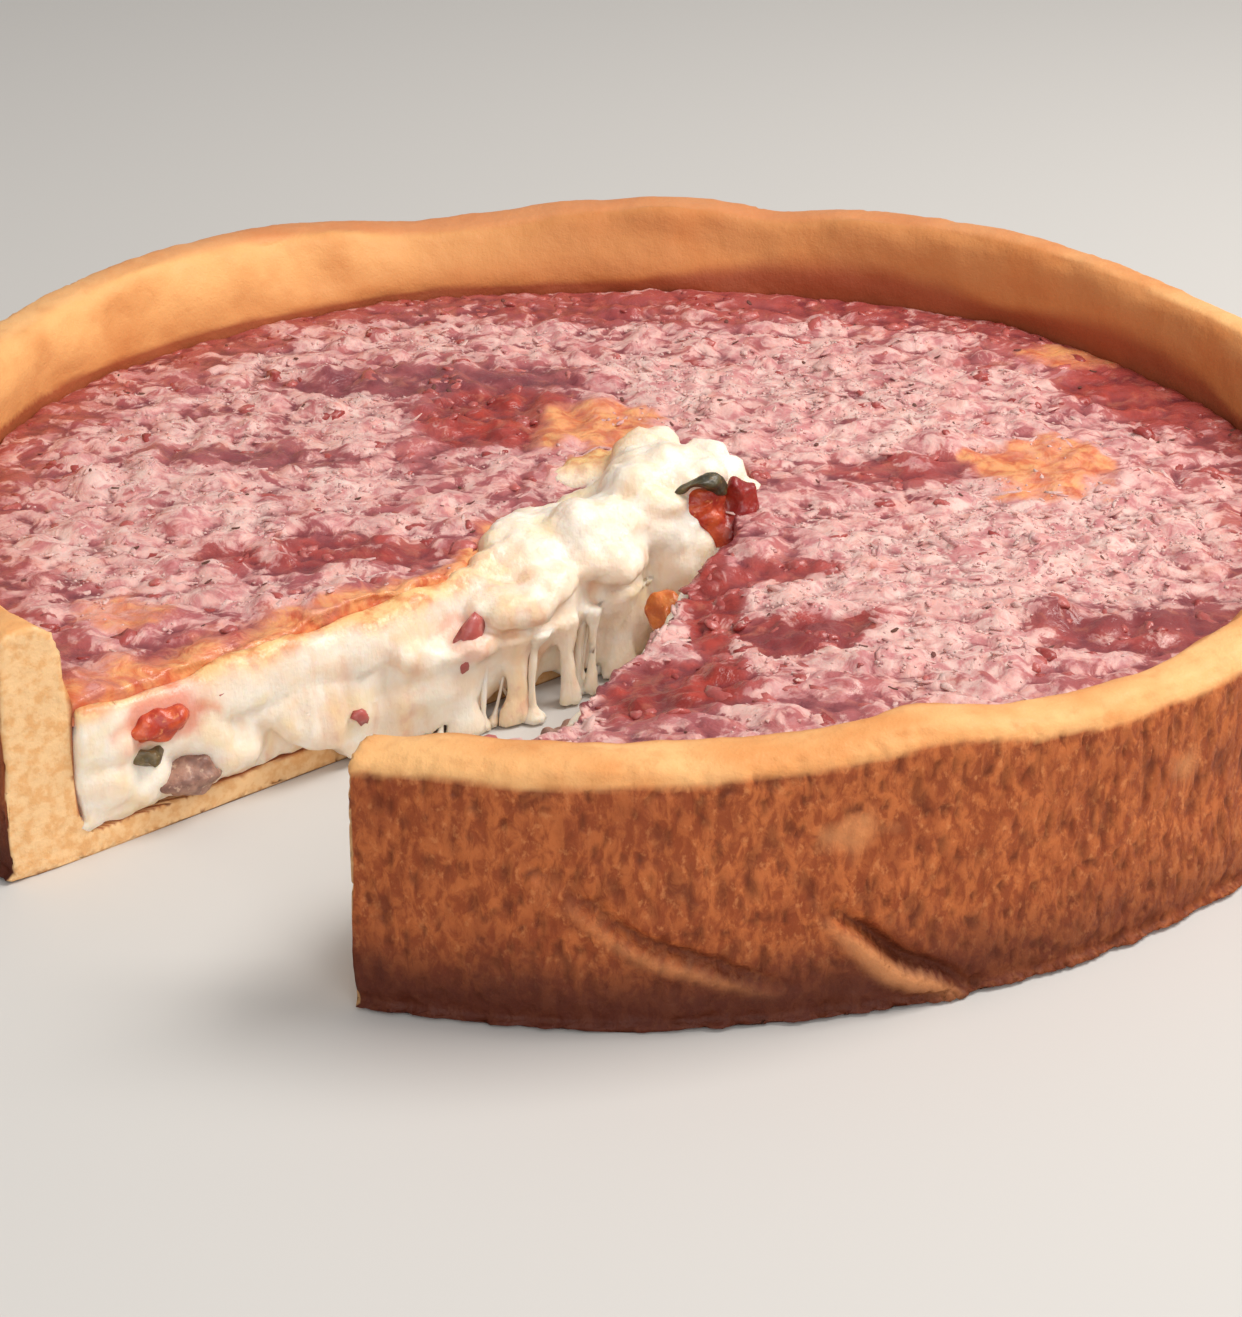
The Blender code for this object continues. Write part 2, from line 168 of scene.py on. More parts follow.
def from_cut(side, point):
    """How far a point is along a cut from the tip, and how far out of it."""
    ahead, into_gap = CUTS[side]
    x, y = point.x - TIP.x, point.y - TIP.y
    return x * ahead.x + y * ahead.y, x * into_gap.x + y * into_gap.y


def sauce_pull(side, along):
    """How far the torn sauce stands back from a cut, by distance from the tip."""
    if side == "right":
        rise = smoothstep(-0.012, 0.020, along)
        fall = 1.0 - smoothstep(0.098, 0.128, along)
        wave = 0.0014 * math.sin(along / 0.0075)
        return 0.0005 + (0.0135 + wave) * rise * fall
    near_tip = 0.0132 * (1.0 - smoothstep(0.032, 0.066, along))
    return 0.0004 + near_tip + 0.0006 * (1.0 + math.sin(along / 0.0062))


def cheese_bulge(along, height):
    """How far the cheese stands out of the left-hand cut."""
    lump = 0.0052 + 0.0016 * math.sin(along / 0.0085) + 0.0008 * math.sin(along / 0.0037 + 1.0)
    tongue = 0.0075 * bell(along - 0.046, 0.034) * smoothstep(0.009, 0.019, height)
    belly = math.sin(math.pi * min(1.0, 0.18 + 0.75 * (height + 0.002) / CHEESE_LEVEL))
    ends = smoothstep(0.006, 0.020, along) * (1.0 - smoothstep(0.098, 0.116, along))
    return (lump * belly + tongue) * ends + 0.0012


def rim_rise(heading):
    """How far the rim stands above or below its usual height."""
    return sum(rise * bell(turn_between(heading, centre), width) for centre, width, rise in RIM_SWELLS)


def slump(heading):
    """How far the wall's inner foot leans in: most at the far side."""
    return 0.0090 * bell(turn_between(heading, 98.0), 62.0)


def warp(point):
    """Turns the plain turned forms into the hand-pressed ones, all by the same rule."""
    radius = math.hypot(point.x, point.y)
    heading = math.degrees(math.atan2(point.y, point.x)) % 360.0
    across = point.x / RIM_RADIUS
    depth = point.y / RIM_RADIUS
    height = point.z

    wobble = 0.0009 * math.sin(math.radians(3.0 * heading + 40.0))
    wobble += 0.0006 * math.sin(math.radians(7.0 * heading + 10.0))
    radius += wobble * smoothstep(0.0, 0.020, height) * smoothstep(0.095, 0.130, radius)

    inner = smoothstep(0.100, 0.133, radius) * (1.0 - smoothstep(0.1395, 0.1465, radius))
    foot = smoothstep(0.010, 0.025, height) * (1.0 - 0.65 * smoothstep(0.033, 0.046, height))
    radius -= slump(heading) * inner * foot

    height += rim_rise(heading) * smoothstep(0.034, 0.0475, height)
    swell = 0.0007 * math.sin(9.0 * across + 1.0) * math.cos(8.0 * depth)
    middle = 1.0 - smoothstep(0.105, 0.128, radius)
    settled = smoothstep(0.018, 0.0250, point.z) * (1.0 - smoothstep(0.033, 0.036, point.z))
    height += swell * middle * settled

    along, out = from_cut("right", point)
    back = -out - sauce_pull("right", along)
    sagging = smoothstep(0.020, 0.040, along) * (1.0 - smoothstep(0.100, 0.125, along))
    height -= 0.0030 * (1.0 - smoothstep(0.0, 0.024, abs(back))) * sagging * settled
    flat = unit(heading) * radius
    return Vector((flat.x, flat.y, height))


# ---------------------------------------------------------------- making shapes


def outwards(shape):
    """Turns the faces of one closed form outwards."""
    bmesh.ops.recalc_face_normals(shape, faces=shape.faces)
    if shape.calc_volume(signed=True) < 0.0:
        bmesh.ops.reverse_faces(shape, faces=shape.faces)
    return shape


def placed(name, data):
    """A new object of the scene that holds the given mesh, lamp or camera."""
    made = bpy.data.objects.new(name, data)
    bpy.context.collection.objects.link(made)
    return made


def made_of(name, *shapes):
    """One object out of closed forms."""
    mesh = bpy.data.meshes.new(name)
    whole = bmesh.new()
    for shape in shapes:
        outwards(shape).to_mesh(mesh)
        shape.free()
        whole.from_mesh(mesh)
    whole.to_mesh(mesh)
    whole.free()
    return placed(name, mesh)


def rounded(profile, steps=4):
    """The same outline with its corners eased by a smooth curve through its points."""
    points = [Vector((radius, height)) for radius, height in profile]
    ends = [points[0]] + points + [points[-1]]
    eased = []
    for before, start, end, after in zip(ends, ends[1:], ends[2:], ends[3:]):
        for step in range(steps):
            share = step / steps
            bend = (end - before) * share + (2 * before - 5 * start + 4 * end - after) * share ** 2
            bend += (3 * start - before - 3 * end + after) * share ** 3
            place = start + 0.5 * bend
            eased.append((max(0.0, place.x), place.y))
    return eased + [profile[-1]]


def turned(profile, stations):
    """A full turn of a profile that starts and ends on the axis, hand-pressed."""
    shape = bmesh.new()
    points = [shape.verts.new((radius, 0.0, height)) for radius, height in profile]
    edges = [shape.edges.new(pair) for pair in zip(points, points[1:])]
    bmesh.ops.spin(
        shape, geom=points + edges, cent=(0, 0, 0), axis=(0, 0, 1), angle=2.0 * math.pi,
        steps=stations, use_merge=True,
    )
    bmesh.ops.remove_doubles(shape, verts=shape.verts, dist=1e-6)
    for vert in shape.verts:
        vert.co = warp(vert.co)
    return shape


def loft(rings):
    """A closed form through rings of points, with a flat cap at each end."""
    shape = bmesh.new()
    made = [[shape.verts.new(point) for point in ring] for ring in rings]
    for ring in made:
        for index, vert in enumerate(ring):
            shape.edges.new((vert, ring[(index + 1) % len(ring)]))
    for low, high in zip(made, made[1:]):
        pair = set(low) | set(high)
        edges = [edge for vert in low + high for edge in vert.link_edges if set(edge.verts) <= pair]
        bmesh.ops.bridge_loops(shape, edges=list(dict.fromkeys(edges)))
    shape.faces.new(made[0])
    shape.faces.new(list(reversed(made[-1])))
    return shape


def lump(centre, radii, seed, detail=4, turn=0.0, rough=0.16):
    """An uneven rounded lump."""
    shape = bmesh.new()
    bmesh.ops.create_icosphere(shape, subdivisions=detail, radius=1.0)
    for vert in shape.verts:
        wide, fine = ripple(vert.co, 0.9, seed=seed), ripple(vert.co, 0.35, seed=seed)
        vert.co *= 1.0 + rough * wide + 0.3 * rough * fine
        vert.co = Vector(part * radius for part, radius in zip(vert.co, radii))
    place = Matrix.Translation(centre) @ Matrix.Rotation(math.radians(turn), 4, "Z")
    bmesh.ops.transform(shape, matrix=place, verts=shape.verts)
    return shape


def heap_rim(height):
    """The sauce's edge round the heap at the tip: part of an oval, from left to right."""
    middle = TIP + Vector((-0.0055, 0.0015, 0.0))
    ahead = unit(LEFT_HEADING - 180.0)
    aside = unit(LEFT_HEADING - 90.0)
    for turn in range(120, -71, -10):
        reach = 0.0200 * math.cos(math.radians(turn))
        spread = 0.0138 * math.sin(math.radians(turn))
        yield Vector((*(middle + ahead * reach + aside * spread).xy, height))


def slice_space(left_pull, right_pull, low, high, around_heap=False):
    """The room the missing slice leaves, as a form that cuts it out of a layer."""
    rings = []
    for height, share in ((low, 0.0), (high, 1.0)):
        stations = [REACH - index * (REACH - 0.012) / 90 for index in range(91)]
        ring = [at_cut("left", along, -left_pull(along, share), height) for along in stations]
        ring += heap_rim(height) if around_heap else [Vector((TIP.x, TIP.y, height))]
        ring += [at_cut("right", along, -right_pull(along, share), height) for along in reversed(stations)]
        rings.append(ring)
    return loft(rings)


def applied(piece):
    """Makes what the modifiers do the piece's own mesh."""
    graph = bpy.context.evaluated_depsgraph_get()
    mesh = bpy.data.meshes.new_from_object(piece.evaluated_get(graph))
    old = piece.data
    piece.modifiers.clear()
    piece.data = mesh
    bpy.data.meshes.remove(old)
    return piece


def cut_out(piece, shape):
    """Takes a closed form out of a piece."""
    tool = made_of("tool", shape)
    step = piece.modifiers.new("cut", "BOOLEAN")
    step.operation = "DIFFERENCE"
    step.solver = "MANIFOLD"
    step.object = tool
    applied(piece)
    bpy.data.objects.remove(tool, do_unlink=True)


def skinned(piece, voxel, rounds):
    """One even skin round all the piece's closed forms, a little softened."""
    skin = piece.modifiers.new("skin", "REMESH")
    skin.mode = "VOXEL"
    skin.voxel_size = voxel
    soften = piece.modifiers.new("soften", "SMOOTH")
    soften.factor = 0.5
    soften.iterations = rounds
    return applied(piece)


def thinned(piece, triangles, hidden):
    """Takes faces away, and first of all where nothing shows."""
    mesh = piece.data
    shares = [1.0 if hidden(vert.co, vert.normal) else 0.02 for vert in mesh.vertices]
    group = piece.vertex_groups.new(name="hidden")
    for share in (1.0, 0.02):
        group.add([index for index, found in enumerate(shares) if found == share], share, "REPLACE")
    step = piece.modifiers.new("thin", "DECIMATE")
    step.ratio = min(1.0, triangles / sum(len(face.vertices) - 2 for face in mesh.polygons))
    step.vertex_group = group.name
    step.vertex_group_factor = 30.0
    applied(piece)
    piece.vertex_groups.clear()
    return piece


def worked(piece, surface, names):
    """Moves each point along its normal and paints it.

    surface(point, normal) gives the move in metres and then one share for each of
    the names, which a material reads.
    """
    mesh = piece.data
    found = np.array([surface(vert.co, vert.normal) for vert in mesh.vertices])
    points = np.empty(len(found) * 3, dtype=np.float32)
    normals = np.empty(len(found) * 3, dtype=np.float32)
    mesh.vertices.foreach_get("co", points)
    mesh.vertices.foreach_get("normal", normals)
    points = points.reshape(-1, 3) + normals.reshape(-1, 3) * found[:, :1]
    points[:, 2] = np.maximum(points[:, 2], 0.0)
    mesh.vertices.foreach_set("co", points.astype(np.float32).ravel())
    for column, name in enumerate(names, 1):
        layer = mesh.attributes.new(name, "FLOAT", "POINT")
        layer.data.foreach_set("value", found[:, column].astype(np.float32))
    mesh.update()
    return piece


def finished(piece, material, slot, *nodes):
    """Puts the piece in its place, on the body, for the nodes it stands for."""
    piece.data.transform(Matrix.Translation(SHIFT))
    piece.data.materials.clear()
    piece.data.materials.append(material)
    piece.data.shade_smooth()
    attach(piece, "root")
    if nodes:
        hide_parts(*nodes)
    return piece


# ------------------------------------------------------------- making materials


def shade(red, green, blue):
    """A colour as seen on a screen, from 0 to 255, as a light-linear one."""
    values = []
    for value in (red, green, blue):
        value /= 255.0
        values.append(value / 12.92 if value <= 0.04045 else ((value + 0.055) / 1.055) ** 2.4)
    return (*values, 1.0)


class Finish:
    """A Principled material, with short calls that add nodes to it."""

    def __init__(self, name, glow=None, glow_depth=0.0, **values):
        """glow is how far light goes into it for red, green and blue, by glow_depth in metres."""
        self.material = bpy.data.materials.new(name)
        self.material.use_nodes = True
        self.tree = self.material.node_tree
        self.shader = self.tree.nodes["Principled BSDF"]
        for key, value in values.items():
            self.shader.inputs[key.replace("_", " ")].default_value = value
        if glow:
            self.shader.inputs["Subsurface Radius"].default_value = glow
            self.shader.inputs["Subsurface Scale"].default_value = glow_depth
        self.place = self.tree.nodes.new("ShaderNodeTexCoord").outputs["Object"]

    def put(self, socket, value):
        """Joins a node's output to a socket, or sets the socket to a plain value."""
        if isinstance(value, bpy.types.NodeSocket):
            self.tree.links.new(value, socket)
        else:
            socket.default_value = value

    def stretched(self, x, y, z):
        """The place on the piece, with each axis scaled."""
        node = self.tree.nodes.new("ShaderNodeMapping")
        self.put(node.inputs["Vector"], self.place)
        node.inputs["Scale"].default_value = (x, y, z)
        return node.outputs["Vector"]

    def noise(self, size, detail=3.0, place=None, rough=0.55, distort=0.0):
        """Cloudy noise with patches of about the given size in metres."""
        node = self.tree.nodes.new("ShaderNodeTexNoise")
        self.put(node.inputs["Vector"], place or self.place)
        node.inputs["Scale"].default_value = 1.0 / size
        node.inputs["Detail"].default_value = detail
        node.inputs["Roughness"].default_value = rough
        node.inputs["Distortion"].default_value = distort
        return node.outputs["Fac"]

    def cells(self, size, place=None, feature="F1"):
        """Distance to the nearest of many scattered points, for pores and grains."""
        node = self.tree.nodes.new("ShaderNodeTexVoronoi")
        self.put(node.inputs["Vector"], place or self.place)
        node.feature = feature
        node.inputs["Scale"].default_value = 1.0 / size
        return node.outputs["Distance"]

    def kept(self, name):
        """A share that was painted on the piece."""
        node = self.tree.nodes.new("ShaderNodeAttribute")
        node.attribute_name = name
        return node.outputs["Fac"]

    def along(self, axis):
        """The place along one axis, in metres: Z is the height above the table."""
        node = self.tree.nodes.new("ShaderNodeSeparateXYZ")
        self.put(node.inputs["Vector"], self.place)
        return node.outputs[axis]

    def span(self, value, low, high, start=0.0, end=1.0):
        """Eases a value from low..high to start..end."""
        node = self.tree.nodes.new("ShaderNodeMapRange")
        node.interpolation_type = "SMOOTHSTEP"
        self.put(node.inputs["Value"], value)
        for key, part in (("From Min", low), ("From Max", high), ("To Min", start), ("To Max", end)):
            node.inputs[key].default_value = part
        return node.outputs["Result"]

    def sum(self, kind, first, second):
        """Two values added, multiplied and so on."""
        node = self.tree.nodes.new("ShaderNodeMath")
        node.operation = kind
        node.use_clamp = True
        self.put(node.inputs[0], first)
        self.put(node.inputs[1], second)
        return node.outputs[0]

    def blend(self, share, first, second):
        """One colour into another; a plain colour is given as seen on a screen."""
        node = self.tree.nodes.new("ShaderNodeMix")
        node.data_type = "RGBA"
        for key, part in (("Factor", share), ("A", first), ("B", second)):
            self.put(node.inputs[key], shade(*part) if isinstance(part, tuple) else part)
        return node.outputs["Result"]

    def patched(self, colour, value, low, high, most, over):
        """A colour under patches of another, where the value is high."""
        return self.blend(self.span(value, low, high, 0.0, most), colour, over)

    def times(self, value, share):
        """A value lessened by a share."""
        return self.sum("MULTIPLY", value, share)

    def relief(self, *layers):
        """Fine bumps, each a (height value, depth in metres) pair."""
        normal = None
        for value, depth in layers:
            node = self.tree.nodes.new("ShaderNodeBump")
            node.inputs["Distance"].default_value = depth
            node.inputs["Strength"].default_value = 1.0
            self.put(node.inputs["Height"], value)
            if normal:
                self.put(node.inputs["Normal"], normal)
            normal = node.outputs["Normal"]
        self.put(self.shader.inputs["Normal"], normal)

    def done(self, colour, roughness):
        """Joins the colour and the roughness to the shader."""
        self.put(self.shader.inputs["Base Color"], colour)
        self.put(self.shader.inputs["Roughness"], roughness)
        return self.material


# ------------------------------------------------------------------------ crust


def crust_profile():
    """Half section of the crust: base, outer wall, rim, inner wall, floor."""
    rim_inside = RIM_RADIUS - RIM_WIDTH
    top = WALL_HEIGHT
    return (
        (0.0, 0.0),
        (BASE_RADIUS - 0.0052, 0.0),
        (BASE_RADIUS - 0.0012, 0.0014),
        (BASE_RADIUS, 0.0050),
        (BASE_RADIUS - 0.0005, 0.019),
        (RIM_RADIUS + 0.0005, 0.033),
        (RIM_RADIUS, top - 0.0036),
        (RIM_RADIUS - 0.0011, top - 0.0009),
        (RIM_RADIUS - 0.0036, top + 0.0003),
        (RIM_RADIUS - 0.0080, top + 0.0002),
        (rim_inside + 0.0014, top - 0.0016),
        (rim_inside, top - 0.0052),
        (rim_inside - 0.0002, 0.036),
        (rim_inside - 0.0004, 0.0285),
        (rim_inside - 0.0008, 0.0105),
        (rim_inside - 0.0023, BASE_THICKNESS + 0.0017),
        (rim_inside - 0.0058, BASE_THICKNESS),
        (0.0, BASE_THICKNESS),
    )


# Pale blisters in the fried wall: heading, height, half width, half height
BLISTERS = (
    (283.6, 0.0335, 0.0062, 0.0042),
    (309.0, 0.0300, 0.0040, 0.0034),
    (30.0, 0.0290, 0.0060, 0.0040),
    (118.0, 0.0220, 0.0050, 0.0036),
    (190.0, 0.0340, 0.0052, 0.0040),
)


def blister_at(point, heading):
    """How deep a place is in a pale blister of the wall, from 0 to 1."""
    most = 0.0
    for centre, height, across, tall in BLISTERS:
        arc = math.radians(turn_between(heading, centre)) * BASE_RADIUS / across
        rise = (point.z - height) / tall
        if abs(arc) < 1.5 and abs(rise) < 1.5:
            away = math.hypot(arc, rise) * (1.0 + 0.5 * ripple(point, 0.0032, seed=18.0))
            most = max(most, 1.0 - smoothstep(0.25, 1.15, away))
    return most


def fold_lines():
    """Each fold as points (arc length round the wall, height) with its depths."""
    lines = []
    for start, end, sag, depth, lip in FOLDS:
        points = []
        for step in range(13):
            share = step / 12
            heading = start[0] + (end[0] - start[0]) * share
            height = start[1] + (end[1] - start[1]) * share - sag * math.sin(math.pi * share)
            crook = 0.0007 * math.sin(share * 11.0 + start[0]) * math.sin(math.pi * share)
            points.append((math.radians(heading) * BASE_RADIUS, height + crook))
        lines.append((points, depth, lip))
    return lines


FOLD_LINES = fold_lines()


def fold_at(heading, height):
    """Relief of the wall's folds at a place: a groove with a torn lip under it."""
    arc = math.radians(heading % 360.0) * BASE_RADIUS
    total = 0.0
    for points, depth, lip in FOLD_LINES:
        if not points[0][0] - 0.006 < arc < points[-1][0] + 0.006:
            continue
        nearest = 1.0
        for index, ((x, z), (to_x, to_z)) in enumerate(zip(points, points[1:])):
            run_x, run_z = to_x - x, to_z - z
            length = math.hypot(run_x, run_z)
            share = min(1.0, max(0.0, ((arc - x) * run_x + (height - z) * run_z) / length ** 2))
            gap = math.hypot(arc - x - run_x * share, height - z - run_z * share)
            if gap < nearest:
                nearest = gap
                below = (height - z) * run_x - (arc - x) * run_z < 0.0
                place = (index + share) / 12
        if nearest > 0.009:
            continue
        fade = math.sin(math.pi * min(0.98, max(0.02, place))) ** 0.6
        width = 0.0006 + 0.0004 * fade + 0.14 * depth
        total -= depth * fade * math.exp(-(nearest / width) ** 2)
        if below:
            rise = smoothstep(0.0002, 0.0020, nearest)
            end = 0.0024 + 0.0030 * fade + 0.9 * lip
            total += lip * fade * rise * (1.0 - smoothstep(0.0018, end, nearest))
    return total


def pits(point):
    """Fried pits in the outer wall, from 0 to 1."""
    small = smoothstep(0.18, 0.55, ripple(point, 0.0017, 0.0028, seed=3.0))
    wide = smoothstep(0.25, 0.60, ripple(point, 0.0034, 0.0060, seed=8.0))
    return max(small, wide * 0.8)


def on_knife_cut(point, normal):
    """1 on the flat faces that the knife left in the crust."""
    for side in ("left", "right"):
        along, out = from_cut(side, point)
        if along > -0.002 and abs(out) < 0.0012 and normal.dot(CUTS[side][1]) > 0.55:
            return 1.0
    return 0.0


def wall_relief(point, heading):
    """The fried outer wall: swells, drawn-out streaks, folds and pits; and the pits' share."""
    pit = pits(point)
    fold = fold_at(heading, point.z) if point.z < 0.037 else 0.0
    wall = 0.00060 * ripple(point, 0.021, 0.015, 1.0) + 0.00030 * ripple(point, 0.008, 0.010, 2.0)
    wall += 0.00018 * ripple(point, 0.0020, 0.0042, 4.0) + 0.00010 * ripple(point, 0.0011, 0.0020, 5.0)
    wall += 0.0007 * (1.0 - smoothstep(0.0005, 0.0050, point.z)) * ripple(point, 0.004, 0.003, 6.0)
    return wall + fold - 0.00045 * pit, pit, fold


def wall_foot_stain_and_shade(point, heading, radius):
    """How near the inner wall is to the sauce, for a sauce stain along its foot and painted shadow that
    reaches higher up it at the far right.
    """
    if radius > 0.1455 or point.z > SAUCE_LEVEL + 0.012:
        return 0.0
    # Painted shadow: the darkening reaches higher at the far right.
    deep = max(bell(turn_between(heading, 66.0), 30.0), 0.9 * bell(turn_between(heading, 35.0), 22.0))
    reach = 0.0022 + 0.0085 * deep + 0.0010 * ripple(point, 0.008, seed=17.0)
    return 1.0 - smoothstep(0.35 * reach, reach, point.z - SAUCE_LEVEL)


def crust_surface(point, normal):
    """Relief of the crust, and its shares: fried, pit, lip, foot, crumb, inside."""
    radius = math.hypot(point.x, point.y)
    if radius < 0.130 and point.z < 0.0045 and normal.z < -0.7:
        return 0.0, 1.0, 0.0, 0.0, 0.0, 0.0, 0.0
    heading = math.degrees(math.atan2(point.y, point.x)) % 360.0
    facing = (normal.x * point.x + normal.y * point.y) / max(radius, 0.001)
    cut = on_knife_cut(point, normal)
    outer = smoothstep(0.25, 0.60, facing) * smoothstep(0.1420, 0.1450, radius) * (1.0 - cut)
    inner = smoothstep(0.20, 0.60, -facing) * smoothstep(0.020, 0.028, point.z) * (1.0 - cut)
    rim = smoothstep(0.30, 0.70, normal.z) * smoothstep(0.038, 0.043, point.z)
    relief = pit = fold = fried = 0.0
    if outer > 0.01:
        wall, pit, fold = wall_relief(point, heading)
        relief += outer * wall
    if rim > 0.01:
        waves = 0.00055 * ripple(point, 0.015, seed=7.0) + 0.00022 * ripple(point, 0.005, seed=9.0)
        relief += rim * waves
        relief += rim * 0.00007 * ripple(point, 0.0016, seed=10.0)
    if inner > 0.01:
        dents = 0.00170 * ripple(point, 0.019, 0.012, 11.0) + 0.00030 * ripple(point, 0.007, 0.005, 12.0)
        relief += inner * dents
    if cut > 0.01:
        pores = smoothstep(0.15, 0.55, ripple(point, 0.0013, seed=13.0))
        pores += 0.8 * smoothstep(0.30, 0.65, ripple(point, 0.0028, 0.0018, seed=14.0))
        relief -= cut * 0.00030 * pores
    if radius > 0.138 and facing > 0.2:
        ragged = 0.0009 * ripple(point, 0.011, 0.011, 15.0) + 0.0004 * ripple(point, 0.003, 0.003, 16.0)
        edge = WALL_HEIGHT + rim_rise(heading) - 0.0030 + ragged
        fried = smoothstep(0.25, 0.55, facing) * (1.0 - smoothstep(edge - 0.0008, edge + 0.0008, point.z))
    if normal.z < 0.1 or radius > 0.145:
        fried = max(fried, 1.0 - smoothstep(0.0034, 0.0050, point.z))
    lip = max(smoothstep(0.0002, 0.0020, fold), 0.85 * blister_at(point, heading) * outer)
    # The grooves of the folds join the pits' share, for painted shade in the grooves.
    pit = max(pit, 1.3 * smoothstep(0.0002, 0.0020, -fold))
    foot = wall_foot_stain_and_shade(point, heading, radius)
    return relief, fried * (1.0 - cut), pit, lip, foot, cut, inner


def crust_finish():
    """Baked dough: pale gold rim, fried brown wall with dark pits, cream crumb; painted shade low on the
    wall, on its left, in the fold grooves, at the far rim and up the inner wall's far right foot, and
    painted light on the inner wall's left.
    """
    dough = Finish(
        "baked_dough", (1.0, 0.5, 0.25), 0.002, Specular_IOR_Level=0.22, Subsurface_Weight=0.06,
    )
    tall = dough.stretched(1.0, 1.0, 0.50)
    less_tall = dough.stretched(1.0, 1.0, 0.7)
    fried = dough.kept("fried")
    height, right, back = (dough.along(axis) for axis in ("Z", "X", "Y"))
    grain = dough.noise(0.0019, 4.0, tall, 0.62, 0.5)

    wall = dough.blend(dough.span(grain, 0.38, 0.62), (150, 72, 36), (192, 106, 56))
    wall = dough.patched(wall, dough.noise(0.0060, 3.0, tall), 0.45, 0.70, 0.45, (134, 58, 28))
    wall = dough.patched(wall, dough.noise(0.0015, 3.0, less_tall, 0.6), 0.56, 0.72, 0.60, (214, 134, 80))
    wall = dough.patched(wall, dough.noise(0.024, 3.0), 0.52, 0.72, 0.35, (136, 60, 32))
    # Painted shade: the fried wall darker towards its left side, away from the light.
    wall = dough.blend(dough.span(right, -0.10, 0.03, 0.34, 0.0), wall, (108, 44, 20))
    # Painted shade low on the wall: darker towards its foot, unevenly, and less so towards the right.
    uneven = dough.span(dough.noise(0.012), 0.45, 0.75, 0.0, 0.25)
    low = dough.sum("ADD", dough.span(height, 0.0040, 0.0200, 1.0, 0.0), uneven)
    low = dough.times(low, dough.span(height, 0.012, 0.026, 1.0, 0.0))
    low = dough.times(low, dough.span(right, 0.03, 0.11, 1.0, 0.40))
    wall = dough.blend(dough.times(low, 0.90), wall, (74, 30, 20))
    # Darker in the pits, and painted shade in the grooves of the folds.
    wall = dough.blend(dough.times(dough.kept("pit"), 0.60), wall, (84, 34, 16))
    wall = dough.blend(dough.times(dough.kept("lip"), 0.66), wall, (222, 150, 96))

    # Painted light on the inner wall: paler at the left, where it faces the light, and darker towards the
    # right.
    inner = dough.blend(dough.span(right, -0.10, 0.0), (240, 180, 114), (202, 134, 80))
    inner = dough.patched(inner, dough.noise(0.022, 3.0), 0.42, 0.70, 0.5, (198, 118, 60))
    inner = dough.blend(dough.span(height, 0.0320, 0.0420, 0.45, 0.0), inner, (196, 112, 56))
    gold = dough.blend(dough.span(dough.noise(0.020, 3.0), 0.35, 0.70), (240, 184, 122), (222, 150, 88))
    gold = dough.patched(gold, dough.noise(0.0045, 4.0), 0.52, 0.80, 0.40, (206, 126, 66))
    # Painted shade: the rim darker at the far side.
    gold = dough.patched(gold, back, 0.04, 0.14, 0.8, (206, 130, 84))
    gold = dough.blend(dough.kept("inside"), gold, inner)
    # Sauce stain along the inner wall's foot, and painted shadow higher up it at the far right.
    gold = dough.blend(dough.times(dough.kept("foot"), 0.80), gold, (150, 62, 40))
    crumb = dough.blend(dough.span(dough.noise(0.0022, 4.0), 0.40, 0.65), (240, 198, 146), (228, 174, 116))
    colour = dough.blend(dough.kept("crumb"), dough.blend(fried, gold, wall), crumb)
    dough.relief(
        (dough.times(fried, grain), 0.00042),
        (dough.times(fried, dough.cells(0.0021, less_tall)), 0.00020),
        (dough.noise(0.0030, 4.0), 0.00035),
        (dough.noise(0.00050, 2.0), 0.00009),
    )
    return dough.done(colour, dough.span(dough.noise(0.006), 0.3, 0.7, 0.66, 0.50))


def bake_crust():
    """The crust: a hand-pressed ring wall on a thin base, with one slice cut out."""
    crust = made_of("crust_baked", turned(rounded(crust_profile()), 420))
    cut_out(crust, slice_space(lambda along, share: 0.0, lambda along, share: 0.0, -0.01, 0.07))
    skinned(crust, CRUST_SKIN, 1)
    thinned(crust, MOST_TRIANGLES, lambda point, normal: point.z < 0.0004 or (
        math.hypot(point.x, point.y) < 0.1385 and point.z < 0.0270 and not on_knife_cut(point, normal)))
    worked(crust, crust_surface, ("fried", "pit", "lip", "foot", "crumb", "inside"))
    return finished(crust, crust_finish(), "baked_crust", "crust")


# ------------------------------------------------------------------------ sauce


LAYER_RADII = (0.124, 0.108, 0.092, 0.076, 0.058, 0.038, 0.018)

# Places on the topping: (x, y, half width across, half width in depth, strength)
WHITE_PATCHES = (
    (0.030, 0.064, 0.050, 0.026, 0.75),
    (0.086, -0.030, 0.048, 0.042, 1.0),
    (0.050, -0.060, 0.050, 0.026, 0.95),
    (0.052, 0.040, 0.044, 0.024, 0.75),
    (-0.082, 0.040, 0.046, 0.028, 0.45),
    (-0.040, 0.100, 0.050, 0.020, 0.25),
    (-0.090, -0.020, 0.040, 0.040, 0.55),
)
RED_HOLLOWS = (
    (-0.026, 0.044, 0.022, 0.018, 1.0),
    (0.062, 0.013, 0.024, 0.009, 0.6),
    (0.032, -0.066, 0.018, 0.010, 0.8),
    (0.030, -0.038, 0.016, 0.006, 0.7),
    (0.008, -0.086, 0.018, 0.014, 1.0),
    (0.016, -0.052, 0.006, 0.036, 0.9),
    (0.118, 0.060, 0.022, 0.026, 0.9),
    (0.100, -0.066, 0.034, 0.010, 0.6),
    (-0.060, -0.030, 0.030, 0.010, 0.7),
    (0.010, 0.112, 0.060, 0.012, 0.5),
)
